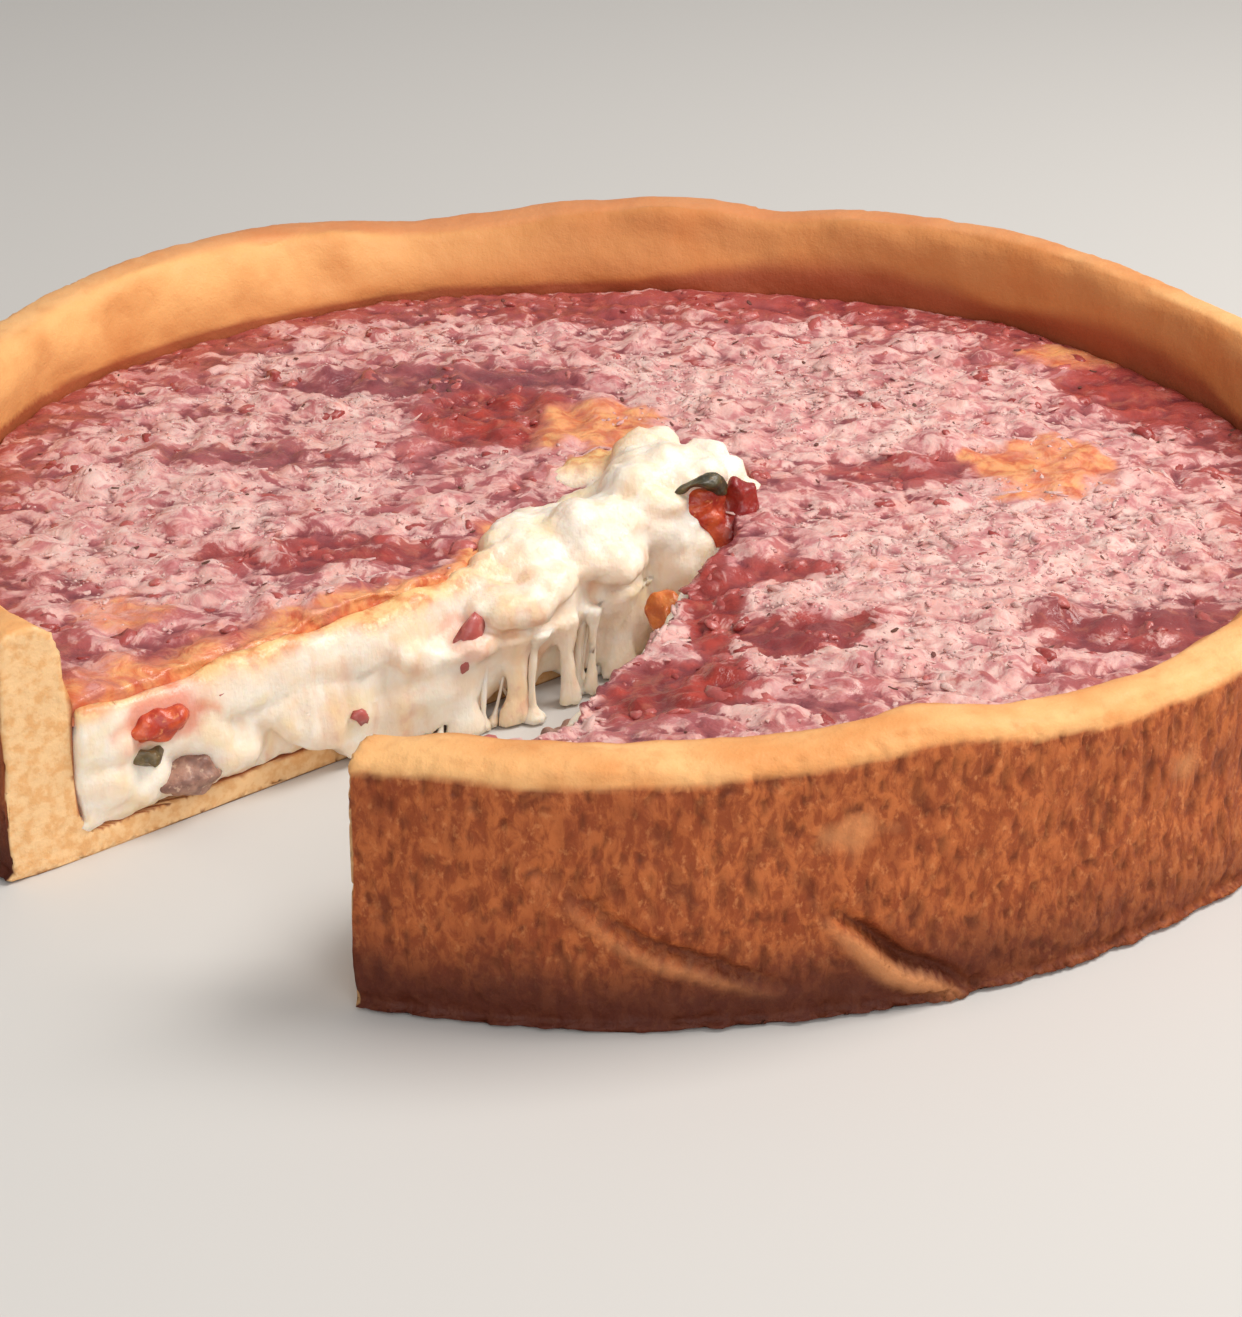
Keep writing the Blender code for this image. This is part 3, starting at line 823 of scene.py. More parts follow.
DARK_PATCHES = (
    (-0.047, 0.063, 0.030, 0.009, 1.0),
    (-0.020, 0.066, 0.012, 0.007, 1.0),
    (0.093, -0.060, 0.026, 0.008, 0.8),
    (-0.078, 0.018, 0.030, 0.008, 0.7),
    (0.032, -0.067, 0.013, 0.007, 0.8),
    (0.046, 0.037, 0.005, 0.003, 0.9),
)
BROWNED_PATCHES = (
    (0.088, 0.012, 0.017, 0.018, 1.0),
    (0.104, 0.078, 0.018, 0.010, 0.7),
    (-0.006, 0.038, 0.014, 0.019, 0.9),
    (-0.094, -0.058, 0.012, 0.009, 0.6),
)


def spread_of(patches, point, edge):
    """How deep a point is in any of the patches, from 0 to 1; the edge is about 1."""
    most = 0.0
    for x, y, across, depth, strength in patches:
        away_x, away_y = abs(point.x - x) / across, abs(point.y - y) / depth
        if away_x < 1.6 and away_y < 1.6:
            most = max(most, strength * (1.0 - smoothstep(0.55, 1.15, math.hypot(away_x, away_y) * edge)))
    return most


def near_wall(point):
    """How near a point of the sauce is to the crust's wall."""
    heading = math.degrees(math.atan2(point.y, point.x))
    return smoothstep(0.112, 0.134, math.hypot(point.x, point.y) + 0.75 * slump(heading))


def topping_at(point):
    """The topping at a place: the grated cheese, red, dark and browned shares, and the wall's."""
    flat = Vector((point.x, point.y, 0.0))
    edge = 1.0 + 0.40 * ripple(flat, 0.011, seed=21.0) + 0.28 * ripple(flat, 0.0045, seed=22.0)
    red = spread_of(RED_HOLLOWS, flat, edge)
    browned = spread_of(BROWNED_PATCHES, flat, edge)
    along, out = from_cut("left", flat)
    if 0.02 < along and out > -0.026:
        width = 0.0085 + 0.0085 * smoothstep(0.070, 0.115, along)
        fringe = bell(out + sauce_pull("left", along), width) * smoothstep(0.02, 0.05, along)
        browned = max(browned, fringe * (0.80 + 0.7 * ripple(flat, 0.007, seed=40.0)))
        red = max(red, fringe * smoothstep(-0.2, 0.2, ripple(flat, 0.010, seed=41.0)))
    wall = near_wall(flat)
    dust = 0.50 + 0.42 * ripple(flat, 0.017, seed=23.0) + 0.30 * ripple(flat, 0.006, seed=24.0)
    dust += 0.42 * spread_of(WHITE_PATCHES, flat, edge) - 0.70 * red - 0.42 * wall
    dark = spread_of(DARK_PATCHES, flat, edge)
    return min(1.0, max(0.0, dust - 0.6 * dark)), red, dark, browned, wall


def sauce_profile():
    """Half section of the sauce, a touch gap above the cheese."""
    wall = RIM_RADIUS - RIM_WIDTH - TOUCH_GAP
    under = CHEESE_LEVEL + TOUCH_GAP
    bottom = ((0.0, under),) + tuple((radius, under) for radius in reversed(LAYER_RADII))
    side = ((wall - 0.0005, under), (wall - 0.0004, SAUCE_LEVEL - 0.0014))
    top = ((wall - 0.0030, SAUCE_LEVEL),) + tuple((radius, SAUCE_LEVEL) for radius in LAYER_RADII)
    return bottom + side + top + ((0.0, SAUCE_LEVEL),)


def crushed(point, red, browned):
    """Relief of crushed tomato, in metres: soft lumps with creases between them."""
    flat = Vector((point.x, point.y, 0.0))
    lumps = 0.0034 * (math.hypot(ripple(flat, 0.0105, seed=25.0), 0.07) - 0.24)
    bits = 0.0017 * (math.hypot(ripple(flat, 0.0044, seed=26.0), 0.09) - 0.25)
    fine = 0.00028 * ripple(flat, 0.0018, seed=27.0) + 0.00030 * ripple(flat, 0.0030, seed=29.0)
    swell = 0.00100 * ripple(flat, 0.026, seed=28.0)
    return (lumps + bits + fine) * (1.0 - 0.35 * browned), swell - 0.0010 * red + 0.0004 * browned


def sauce_surface(point, normal):
    """Relief of the sauce, and its shares: dust, hollow, red, stain, browned."""
    if normal.z < -0.6:
        return 0.0, 0.0, 0.5, 0.0, 1.0, 0.0
    dust, red, dark, browned, wall = topping_at(point)
    top = smoothstep(0.25, 0.70, normal.z)
    bits, swell = crushed(point, red, browned)
    torn = 0.0013 * ripple(point, 0.0050, 0.0030, 30.0) + 0.0006 * ripple(point, 0.0018, seed=31.0)
    relief = top * (bits + swell) * (1.0 - 0.5 * wall) + (1.0 - top) * torn * (1.0 - wall)
    # The hollow share: painted shade in the creases of the crushed tomato, and the dark patches.
    hollow = max(1.0 - smoothstep(-0.0009, -0.0002, bits), 0.9 * dark)
    return relief, dust * smoothstep(0.2, 0.7, normal.z), hollow, red, wall, smoothstep(0.02, 0.98, browned)


def sauce_finish():
    """Crushed tomato: mauve pink and cream where cheese has melted in, red in the hollows, painted shade in
    the creases.
    """
    sauce = Finish(
        "crushed_tomato", (1.0, 0.35, 0.25), 0.002, Specular_IOR_Level=0.45, Subsurface_Weight=0.12,
    )
    worm = sauce.noise(0.0064, 4.0, None, 0.58, 1.3)
    dust, reddened = sauce.kept("dust"), sauce.kept("red")

    clouds = sauce.span(sauce.noise(0.008, 4.0), 0.35, 0.68)
    base = sauce.blend(clouds, (160, 82, 88), (184, 102, 102))
    clouds = sauce.span(sauce.noise(0.005, 4.0), 0.35, 0.68)
    base = sauce.blend(reddened, base, sauce.blend(clouds, (132, 30, 28), (176, 56, 44)))
    base = sauce.blend(sauce.times(sauce.kept("stain"), 0.8), base, (160, 66, 64))
    # Painted shade in the creases, and dark mauve in the dark patches.
    deep = sauce.times(sauce.kept("hollow"), sauce.span(sauce.noise(0.005), 0.3, 0.6, 0.35, 0.85))
    base = sauce.blend(deep, base, (98, 32, 48))

    pink = sauce.blend(sauce.span(worm, 0.40, 0.60), (196, 126, 128), (230, 178, 170))
    cream = sauce.times(dust, sauce.span(sauce.noise(0.0050, 5.0, None, 0.62, 1.2), 0.40, 0.62))
    pink = sauce.blend(cream, pink, (236, 206, 196))
    grain = sauce.span(sauce.noise(0.0056, 5.0, None, 0.64, 0.9), 0.30, 0.70, 0.0, 0.9)
    cover = sauce.sum("ADD", sauce.times(dust, 0.85), grain)
    cover = sauce.sum("SUBTRACT", cover, sauce.times(deep, 0.45))
    cover = sauce.sum("SUBTRACT", cover, sauce.times(reddened, 0.25))
    colour = sauce.patched(base, cover, 0.50, 0.92, 0.90, pink)

    toast = sauce.blend(sauce.span(worm, 0.36, 0.60), (214, 112, 66), (236, 166, 108))
    toast = sauce.patched(toast, sauce.noise(0.0052, 4.0), 0.50, 0.66, 0.8, (190, 80, 50))
    ragged = sauce.span(sauce.noise(0.0066, 5.0, None, 0.65, 1.0), 0.3, 0.7, -0.36, 0.20)
    ragged = sauce.sum("ADD", sauce.kept("browned"), ragged)
    colour = sauce.patched(colour, ragged, -0.10, 0.60, 0.72, (220, 138, 108))
    toasted = sauce.sum("SUBTRACT", sauce.span(ragged, 0.30, 1.0, 0.0, 0.94), sauce.times(cream, 0.45))
    colour = sauce.blend(toasted, colour, toast)
    sauce.relief(
        (worm, 0.00060),
        (sauce.noise(0.0020, 3.0), 0.00020),
        (sauce.noise(0.00060, 2.0), 0.00008),
    )
    return sauce.done(colour, sauce.span(dust, 0.10, 0.6, 0.30, 0.58))


def cook_sauce():
    """The layer of crushed tomato sauce, torn back from both cuts."""
    sauce = made_of("sauce_crushed", turned(rounded(sauce_profile(), 3), 360))
    cut_out(sauce, slice_space(
        lambda along, share: sauce_pull("left", along),
        lambda along, share: sauce_pull("right", along) + 0.0012 * share,
        0.015, 0.05, around_heap=True,
    ))
    skinned(sauce, SAUCE_SKIN, 1)
    thinned(sauce, MOST_TRIANGLES, lambda point, normal: normal.z < -0.5 or (
        math.hypot(point.x, point.y) > 0.1345 and normal.z < 0.2))
    worked(sauce, sauce_surface, ("dust", "hollow", "red", "stain", "browned"))
    return finished(sauce, sauce_finish(), "tomato_sauce", "sauce")


# ----------------------------------------------------------------------- cheese


def cheese_profile():
    """Half section of the cheese, a touch gap inside the crust."""
    wall = RIM_RADIUS - RIM_WIDTH - TOUCH_GAP
    floor = BASE_THICKNESS + TOUCH_GAP
    corner = ((0.0, floor), (wall - 0.0060, floor), (wall - 0.0025, floor + 0.0018))
    side = ((wall - 0.0008, 0.0108), (wall - 0.0009, CHEESE_LEVEL))
    return corner + side + tuple((radius, CHEESE_LEVEL) for radius in LAYER_RADII) + ((0.0, CHEESE_LEVEL),)


def left_curtain():
    """The cheese that has bulged and run out of the left-hand cut, over the base."""
    rings = []
    inside, clear = -0.0030, 0.0005
    for index in range(CUT_STEPS):
        along = 0.010 + 0.1064 * index / (CUT_STEPS - 1)
        top = CHEESE_LEVEL - 0.0004 - 0.0016 * (0.5 + 0.5 * math.sin(along / 0.011))
        hem = 0.0012 + 0.0030 * (0.5 + 0.5 * math.sin(along / 0.0095 + 2.0))
        hem += 0.0010 * math.sin(along / 0.0021) + 0.0100 * smoothstep(0.088, 0.114, along)
        inner_hem = max(hem + 0.0004, BASE_THICKNESS + 0.0010)
        section = [
            (inside, inner_hem + 0.0010),
            (clear, inner_hem + 0.0002),
            (clear, hem),
            (max(clear + 0.0006, cheese_bulge(along, hem)), hem + 0.0010),
            (cheese_bulge(along, 0.011) + 0.0006, max(0.011, hem + 0.0024)),
            (cheese_bulge(along, 0.018) + 0.0006, 0.0185),
            (cheese_bulge(along, 0.023) * 0.62 + 0.0004, top - 0.0012),
            (inside, top),
        ]
        rings.append([at_cut("left", along, out, height) for out, height in section])
    return loft(rings)


def raised_lip():
    """The cheese that has pulled up along the left-hand cut, against the torn sauce."""
    rings = []
    for index in range(CUT_STEPS):
        along = 0.0040 + 0.1430 * index / (CUT_STEPS - 1)
        pull = sauce_pull("left", along)
        crest = 0.0301 + 0.0040 * (1.0 - smoothstep(0.030, 0.080, along))
        crest -= 0.0008 * smoothstep(0.105, 0.130, along)
        crest += 0.0007 * math.sin(along / 0.0054) + 0.0004 * math.sin(along / 0.0023 + 1.0)
        swell = 0.0034 + 0.0012 * math.sin(along / 0.0068 + 2.0)
        ends = 1.0 - 0.75 * smoothstep(0.108, 0.126, along)
        section = (
            (-pull - 0.0010, 0.0215),
            (-pull - 0.0008, crest - 0.0026),
            (-0.72 * pull - 0.0002, crest - 0.0006),
            (-0.30 * pull + 0.0004, crest),
            (0.0012 + 0.5 * swell * ends, crest - 0.0014),
            (0.0012 + 0.9 * swell * ends, crest - 0.0042),
            (0.0012 + 1.05 * swell * ends, 0.0235),
            (0.0012 + 0.95 * swell * ends, 0.0200),
            (0.0004, 0.0170),
        )
        rings.append([at_cut("left", along, out, height) for out, height in section])
    return loft(rings)


# Cheese strings under the tongue: along the left cut, out from it, half width, lean
STRINGS = (
    (0.0665, 0.0074, 0.0036, 0.000),
    (0.0545, 0.0096, 0.0030, 0.001),
    (0.0435, 0.0102, 0.0022, -0.001),
    (0.0355, 0.0100, 0.0012, 0.001),
    (0.0265, 0.0072, 0.0034, 0.000),
)


def oval(ahead, aside, half_width, half_depth, height, corners):
    """A level oval of points: its middle along the left cut and out from it."""
    turns = [math.tau * corner / corners for corner in range(corners)]
    return [
        at_cut("left", ahead + half_width * math.cos(turn), aside + half_depth * math.sin(turn), height)
        for turn in turns
    ]


def hanging_string(along, out, half_width, lean):
    """A flat string of cheese from the tongue down to just above the base level."""
    rings = []
    thick = 0.0007 + 0.30 * half_width
    for step in range(25):
        share = step / 24
        height = 0.0195 - (0.0195 - 0.0006) * share
        waist = 1.0 - 0.22 * math.sin(math.pi * share)
        flare = 1.0 + 0.5 * smoothstep(0.50, 1.0, share) ** 2 + 0.9 * (1.0 - min(1.0, share / 0.45)) ** 2
        across, deep = half_width * waist * flare, thick * waist * flare
        rings.append(oval(along + lean * share, out, across, deep, height, 14))
    return loft(rings)


def heap_lumps():
    """The heap at the tip, from its far end to its tail on the left cut: centre, radii, turn."""
    return (
        (Vector((0.0160, 0.0066, 0.0270)), (0.0088, 0.0080, 0.0118), 20.0),
        (Vector((0.0058, -0.0035, 0.0290)), (0.0165, 0.0122, 0.0128), 38.0),
        (at_cut("left", 0.0290, 0.0002, 0.0262), (0.0150, 0.0102, 0.0108), 36.0),
        (at_cut("left", 0.0460, 0.0034, 0.0212), (0.0145, 0.0072, 0.0084), 42.0),
        (Vector((0.0112, -0.0128, 0.0200)), (0.0068, 0.0062, 0.0128), 0.0),
        (at_cut("left", 0.0380, -0.0045, 0.0285), (0.0135, 0.0065, 0.0056), 40.0),
        (Vector((-0.0040, 0.0110, 0.0288)), (0.0130, 0.0085, 0.0060), 20.0),
    )


# Curds round the filling in the cut by the crust: along the left cut, height, size
WALL_CURDS = (
    (0.1195, 0.0170, 0.0052),
    (0.1385, 0.0200, 0.0042),
    (0.1335, 0.0112, 0.0040),
    (0.1405, 0.0130, 0.0044),
    (0.1150, 0.0120, 0.0056),
    (0.1270, 0.0168, 0.0034),
    (0.1210, 0.0240, 0.0040),
)


def small_lumps(chance):
    """Soft curds on the heap, along the curtain's upper edge and by the crust."""
    for index in range(9):
        along = 0.014 + 0.066 * index / 8 + chance.uniform(-0.003, 0.003)
        height = 0.0345 - 0.0150 * smoothstep(0.0, 0.075, along) + chance.uniform(-0.002, 0.002)
        out = 0.0010 + 0.0030 * chance.random() + 0.0040 * bell(along - 0.046, 0.03)
        size = chance.uniform(0.0042, 0.0070)
        radii = (size * chance.uniform(1.0, 1.6), size, size * chance.uniform(0.6, 0.8))
        yield lump(at_cut("left", along, out, height), radii, 40.0 + index, 3, chance.uniform(0, 90), 0.2)
    for index, (along, height, size) in enumerate(WALL_CURDS):
        radii = (size * 1.3, size * 0.62, size)
        yield lump(at_cut("left", along, 0.0002, height), radii, 90.0 + index, 3, 40.6, 0.25)
    yield lump(Vector((0.0244, 0.0022, 0.0285)), (0.0036, 0.0050, 0.0036), 55.0, 3, 20.0, 0.2)
    for index in range(5):
        place = Vector((0.007 + chance.uniform(-0.007, 0.010), chance.uniform(-0.008, 0.009), 0.0362))
        size = chance.uniform(0.0044, 0.0064)
        yield lump(place, (size * 1.4, size, size * 0.7), 70.0 + index, 3, chance.uniform(0, 180), 0.2)


# Tomato that has soaked into the cut cheese: along the left cut, height, half sizes, strength
RED_STAINS = (
    (0.1300, 0.0240, 0.0105, 0.0056, 0.70),
    (0.0660, 0.0212, 0.0046, 0.0056, 0.30),
)


def cheese_surface(point, normal):
    """Relief of the cheese: drawn-out folds, soft lumps; and its shares: grease with painted fold shade,
    stain.
    """
    along, out = from_cut("left", point)
    pulled = smoothstep(-0.004, 0.0, out) * smoothstep(-0.010, 0.0, along)
    drag = 0.00070 * ripple(point, 0.0034, 0.0160, 32.0) + 0.00030 * ripple(point, 0.0015, 0.0080, 33.0)
    soft = 0.00055 * ripple(point, 0.0070, seed=34.0) + 0.00015 * ripple(point, 0.0025, seed=35.0)
    under = 1.0 - smoothstep(0.020, 0.030, point.z)
    relief = pulled * (drag * under + soft) + (1.0 - pulled) * (0.5 * soft + 0.4 * drag)
    heaped = smoothstep(0.0180, 0.0260, point.z) * (1.0 - smoothstep(0.056, 0.074, along))
    curds = 0.0022 * (math.hypot(ripple(point, 0.0072, seed=45.0), 0.05) - 0.22)
    curds += 0.0011 * (math.hypot(ripple(point, 0.0034, seed=46.0), 0.08) - 0.24)
    relief += heaped * curds
    edge = smoothstep(0.0262, 0.0300, point.z + 0.0016 * ripple(point, 0.006, seed=42.0))
    edge *= smoothstep(0.040, 0.070, along)
    streak = smoothstep(0.15, 0.60, ripple(point, 0.0045, 0.0300, 36.0))
    down = bell(along - 0.040, 0.016) * (1.0 - smoothstep(0.022, 0.034, point.z))
    back = 1.3 * bell(math.hypot(point.x + 0.008, point.y - 0.015), 0.017)
    foot = 0.8 * streak * (1.0 - smoothstep(0.016, 0.024, point.z)) * smoothstep(0.05, 0.08, along)
    # Painted shade: a tan band down a fold of the curtain.
    tan_fold_shade = bell(along - 0.0535 - 0.0012 * math.sin(point.z / 0.0032), 0.0095)
    tan_fold_shade *= smoothstep(-0.004, 0.002, out)
    tan_fold_shade *= 0.62 * smoothstep(-0.35, 0.25, ripple(point, 0.0040, 0.0140, 43.0))
    stain = 0.0
    if -0.001 < out < 0.020 and 0.05 < along < 0.15:
        ragged = 1.0 + 0.45 * ripple(point, 0.0030, seed=44.0)
        stain = spread_of(RED_STAINS, Vector((along, point.z, 0.0)), ragged)
    return relief, min(1.0, max(edge, 0.75 * streak * down, 0.6 * foot, back, tan_fold_shade)), stain


def cheese_finish():
    """Melted mozzarella: cream white, soft, a little greasy."""
    curd = Finish(
        "melted_mozzarella", (1.0, 0.62, 0.36), 0.0035, Specular_IOR_Level=0.5, Subsurface_Weight=0.35,
    )
    drawn = curd.stretched(1.0, 1.0, 0.25)
    white = curd.blend(curd.span(curd.noise(0.008, 3.0), 0.35, 0.65), (252, 241, 226), (247, 226, 202))
    white = curd.patched(white, curd.noise(0.0040, 4.0, drawn), 0.52, 0.75, 0.38, (228, 178, 138))
    white = curd.patched(white, curd.noise(0.011, 3.0), 0.50, 0.68, 0.55, (245, 220, 172))
    fat = curd.blend(curd.span(curd.noise(0.0035, 4.0), 0.42, 0.62), (242, 196, 134), (222, 148, 92))
    # Orange grease, and painted tan shade in a fold of the curtain.
    white = curd.blend(curd.kept("grease_and_fold_shade"), white, fat)
    white = curd.blend(curd.kept("stain"), white, (224, 104, 66))
    curd.relief((curd.noise(0.0018, 3.0, drawn), 0.00030), (curd.noise(0.0007, 2.0), 0.00012))
    return curd.done(white, curd.span(curd.noise(0.005), 0.3, 0.7, 0.30, 0.48))


def melt_cheese():
    """The thick layer of cheese, with the heap, the curtain and the thick strings."""
    torn = made_of("cheese_layer", turned(rounded(cheese_profile(), 3), 300))
    cut_out(torn, slice_space(
        lambda along, share: 0.0,
        lambda along, share: (0.15 + 0.80 * share) * sauce_pull("right", along),
        -0.002, CHEESE_LEVEL + 0.004,
    ))
    chance = random.Random(11)
    forms = [left_curtain(), raised_lip()]
    forms += [
        lump(centre, radii, 3.0 * index, 4, turn, 0.20)
        for index, (centre, radii, turn) in enumerate(heap_lumps(), 1)
    ]
    forms += [hanging_string(*values) for values in STRINGS]
    forms += list(small_lumps(chance))
    layer = bmesh.new()
    layer.from_mesh(torn.data)
    cheese = made_of("cheese_melted", layer, *forms)
    bpy.data.objects.remove(torn, do_unlink=True)
    skinned(cheese, CHEESE_SKIN, 5)
    thinned(cheese, CHEESE_TRIANGLES, lambda point, normal: (
        from_cut("left", point)[1] < -0.006 and from_cut("right", point)[1] < -0.018
        and math.hypot(point.x - 0.010, point.y) > 0.022))
    worked(cheese, cheese_surface, ("grease_and_fold_shade", "stain"))
    return finished(cheese, CHEESE, "melted_cheese", "cheese")


def draw_threads():
    """Thin threads of cheese between the tongue and the foot of the strings."""
    chance = random.Random(5)
    shapes = []
    for index in range(16):
        start = Vector((chance.uniform(0.018, 0.070), chance.uniform(0.006, 0.011), 0.0190))
        start.y = min(start.y, cheese_bulge(start.x, start.z) - 0.0012)
        foot = Vector((start.x + chance.gauss(0.0, 0.004), start.y + chance.uniform(-0.003, 0.002), 0.0006))
        thick = chance.choice((0.00035, 0.00042, 0.00055, 0.00080))
        rings = []
        for step in range(19):
            share = step / 18
            place = start.lerp(foot, share)
            bow = math.sin(math.pi * share)
            flare = 1.0 + 3.0 * (1.0 - smoothstep(0.0, 0.22, share)) + 2.4 * smoothstep(0.84, 1.0, share)
            radius = thick * flare * (1.0 + 0.25 * ripple(Vector((share * 4.0, index, 0.0)), 1.0))
            ahead = place.x + 0.0009 * bow * math.sin(index)
            rings.append(oval(ahead, place.y, radius, radius, place.z, 7))
        shapes.append(loft(rings))
    threads = made_of("cheese_threads", *shapes)
    worked(threads, lambda point, normal: (0.0, 0.0, 0.0), ("grease_and_fold_shade", "stain"))
    return finished(threads, CHEESE, "melted_cheese")


# ---------------------------------------------------------------------- filling


def wet_finish(name, first, second, speck, wet):
    """A cooked vegetable or meat: two clouded colours, specks and a wet surface."""
    finish = Finish(
        name, (1.0, 0.4, 0.3), 0.002,
        Specular_IOR_Level=0.5, Subsurface_Weight=0.20, Coat_Weight=0.15, Coat_Roughness=0.2,
    )
    colour = finish.blend(finish.span(finish.noise(0.0032, 3.0), 0.35, 0.65), first, second)
    colour = finish.patched(colour, finish.noise(0.0014, 3.0), 0.58, 0.72, 0.7, speck)
    if name == "cooked_tomato":
        deep = finish.times(finish.span(finish.along("X"), 0.0175, 0.0215), 0.85)
        colour = finish.blend(deep, colour, (132, 18, 24))
    finish.relief((finish.noise(0.0012, 3.0), 0.0003))
    return finish.done(colour, wet)


FILLING_LOOKS = {
    "tomato": ("cooked_tomato", (214, 92, 48), (176, 50, 32), (232, 146, 92), 0.36),
    "dark_pepper": ("dark_pepper_skin", (86, 76, 42), (52, 46, 30), (120, 98, 58), 0.42),
    "orange_pepper": ("orange_pepper", (222, 128, 62), (196, 96, 40), (240, 176, 110), 0.32),
    "green_pepper": ("green_pepper", (112, 92, 52), (84, 70, 40), (158, 132, 84), 0.40),
    "sausage": ("crumbled_sausage", (168, 126, 108), (124, 86, 74), (210, 176, 152), 0.58),
}


# Lobes that the chunk of tomato at the tip shows above the sauce: centre, radii, turn
TIP_LOBES = (
    (Vector((0.0158, -0.0108, 0.0318)), (0.0046, 0.0036, 0.0048), 15.0),
    (Vector((0.0232, -0.0072, 0.0312)), (0.0044, 0.0040, 0.0058), 60.0),
)


def crooked(piece, seed):
    """Bends a smooth piece of filling out of shape, the way cut and cooked things are."""
    for vert in piece.data.vertices:
        place = vert.co.copy()
        for axis in range(3):
            vert.co[axis] += 0.0020 * ripple(place, 0.0060, seed=seed + 7.0 * axis)
            vert.co[axis] += 0.0007 * ripple(place, 0.0028, seed=seed + 5.0 * axis)


def filling_surface(point, normal):
    """Relief of a cooked piece of filling."""
    bend = 0.00060 * ripple(point, 0.0048, seed=36.5) + 0.00045 * ripple(point, 0.0024, seed=37.0)
    return (bend + 0.00016 * ripple(point, 0.0011, seed=38.0),)


def dress_filling():
    """A finer piece for every piece of filling that the cuts lay bare."""
    looks = {slot: wet_finish(*values) for slot, values in FILLING_LOOKS.items()}
    for part in frame["record"]["subparts"]:
        slot = part["material_slot"]
        if slot not in looks:
            continue
        node = part["node"]
        shape = bmesh.new()
        shape.from_mesh(frame["nodes"][node].data)
        bmesh.ops.remove_doubles(shape, verts=shape.verts, dist=1e-6)
        bmesh.ops.transform(shape, matrix=Matrix.Translation(-SHIFT), verts=shape.verts)
        if slot == "dark_pepper":
            middle = sum((vert.co for vert in shape.verts), Vector()) / len(shape.verts)
            for vert in shape.verts:
                away = 1.15 * (vert.co.x - middle.x)
                vert.co.x = middle.x + 0.0030 + away
                vert.co.z += 0.0020 - 75.0 * away ** 2
        forms = [shape]
        if node == "tomato_chunk_tip":
            forms += [lump(centre, radii, 5.0, 3, turn, 0.25) for centre, radii, turn in TIP_LOBES]
        piece = made_of(node + "_cooked", *forms)
        step = piece.modifiers.new("round", "SUBSURF")
        step.levels = step.render_levels = 2
        applied(piece)
        skinned(piece, FILLING_SKIN, 2)
        crooked(piece, 11.0 + len(node))
        worked(piece, filling_surface, ())
        finished(piece, looks[slot], slot, node)
    return looks


# --------------------------------------------------------------------- strewing


def strewn(name, shapes, places, material, slot):
    """Many small things as one mesh: each place is (matrix, tint) and takes one of the shapes."""
    kinds = []
    for shape in shapes:
        bmesh.ops.triangulate(shape, faces=shape.faces)
        outwards(shape)
        points = np.array([vert.co[:] for vert in shape.verts])
        corners = np.array(sorted([vert.index for vert in face.verts] for face in shape.faces))
        kinds.append((points, corners))
        shape.free()
    all_points, all_corners, tints, start = [], [], [], 0
    for index, (matrix, tint) in enumerate(places):
        points, corners = kinds[index % len(kinds)]
        turn = np.array(matrix.to_3x3())
        all_points.append(points @ turn.T + np.array(matrix.translation))
        all_corners.append(corners + start)
        tints += [tint] * len(points)
        start += len(points)
    mesh = bpy.data.meshes.new(name)
    mesh.from_pydata(np.concatenate(all_points).tolist(), [], np.concatenate(all_corners).tolist())
    mesh.attributes.new("tint", "FLOAT", "POINT").data.foreach_set("value", tints)
    return finished(placed(name, mesh), material, slot)


def shred(chance):
    """One soft curl of grated cheese, 1 long, lying along X."""
    shape = bmesh.new()
    bmesh.ops.create_cone(shape, cap_ends=True, segments=5, radius1=0.5, radius2=0.5, depth=1.0)
    bmesh.ops.rotate(shape, cent=(0, 0, 0), matrix=Matrix.Rotation(math.pi / 2, 3, "Y"), verts=shape.verts)
    long_edges = [edge for edge in shape.edges if abs(edge.verts[0].co.x - edge.verts[1].co.x) > 0.5]
    bmesh.ops.subdivide_edges(shape, edges=long_edges, cuts=2)
    curl = chance.uniform(-0.6, 0.6)
    wide = chance.uniform(0.22, 0.42)
    for vert in shape.verts:
        taper = 1.0 - 0.62 * (2.0 * vert.co.x) ** 2
        vert.co.z = vert.co.z * 0.13 * taper + chance.uniform(-0.02, 0.02)
        vert.co.y = vert.co.y * wide * taper + curl * (vert.co.x ** 2 - 0.12)
    return shape


def crumb(chance):
    """One crumb, about 1 across."""
    shape = bmesh.new()
    bmesh.ops.create_uvsphere(shape, u_segments=4, v_segments=2, radius=0.5)
    for vert in shape.verts:
        vert.co.x *= chance.uniform(0.8, 1.5)
        vert.co.z *= chance.uniform(0.5, 0.8)
        vert.co.y += chance.uniform(-0.12, 0.12)
    return shape


def bit(chance):
    """One soft lump of tomato, about 1 across."""
    shape = bmesh.new()
    bmesh.ops.create_uvsphere(shape, u_segments=9, v_segments=6, radius=0.5)
    seed = chance.uniform(0.0, 90.0)
    for vert in shape.verts:
        vert.co *= 1.0 + 0.75 * ripple(vert.co, 0.42, seed=seed)
        vert.co.y *= 0.75
        vert.co.z *= 0.34
    return shape


def leaf(chance):
    """One curled fleck of dried herb, 1 long."""
    shape = bmesh.new()
    bmesh.ops.create_uvsphere(shape, u_segments=6, v_segments=4, radius=0.5)
    for vert in shape.verts:
        vert.co.y *= 0.5
        vert.co.z = vert.co.z * 0.10 + 0.35 * vert.co.x ** 2 + chance.uniform(-0.02, 0.02)
    return shape


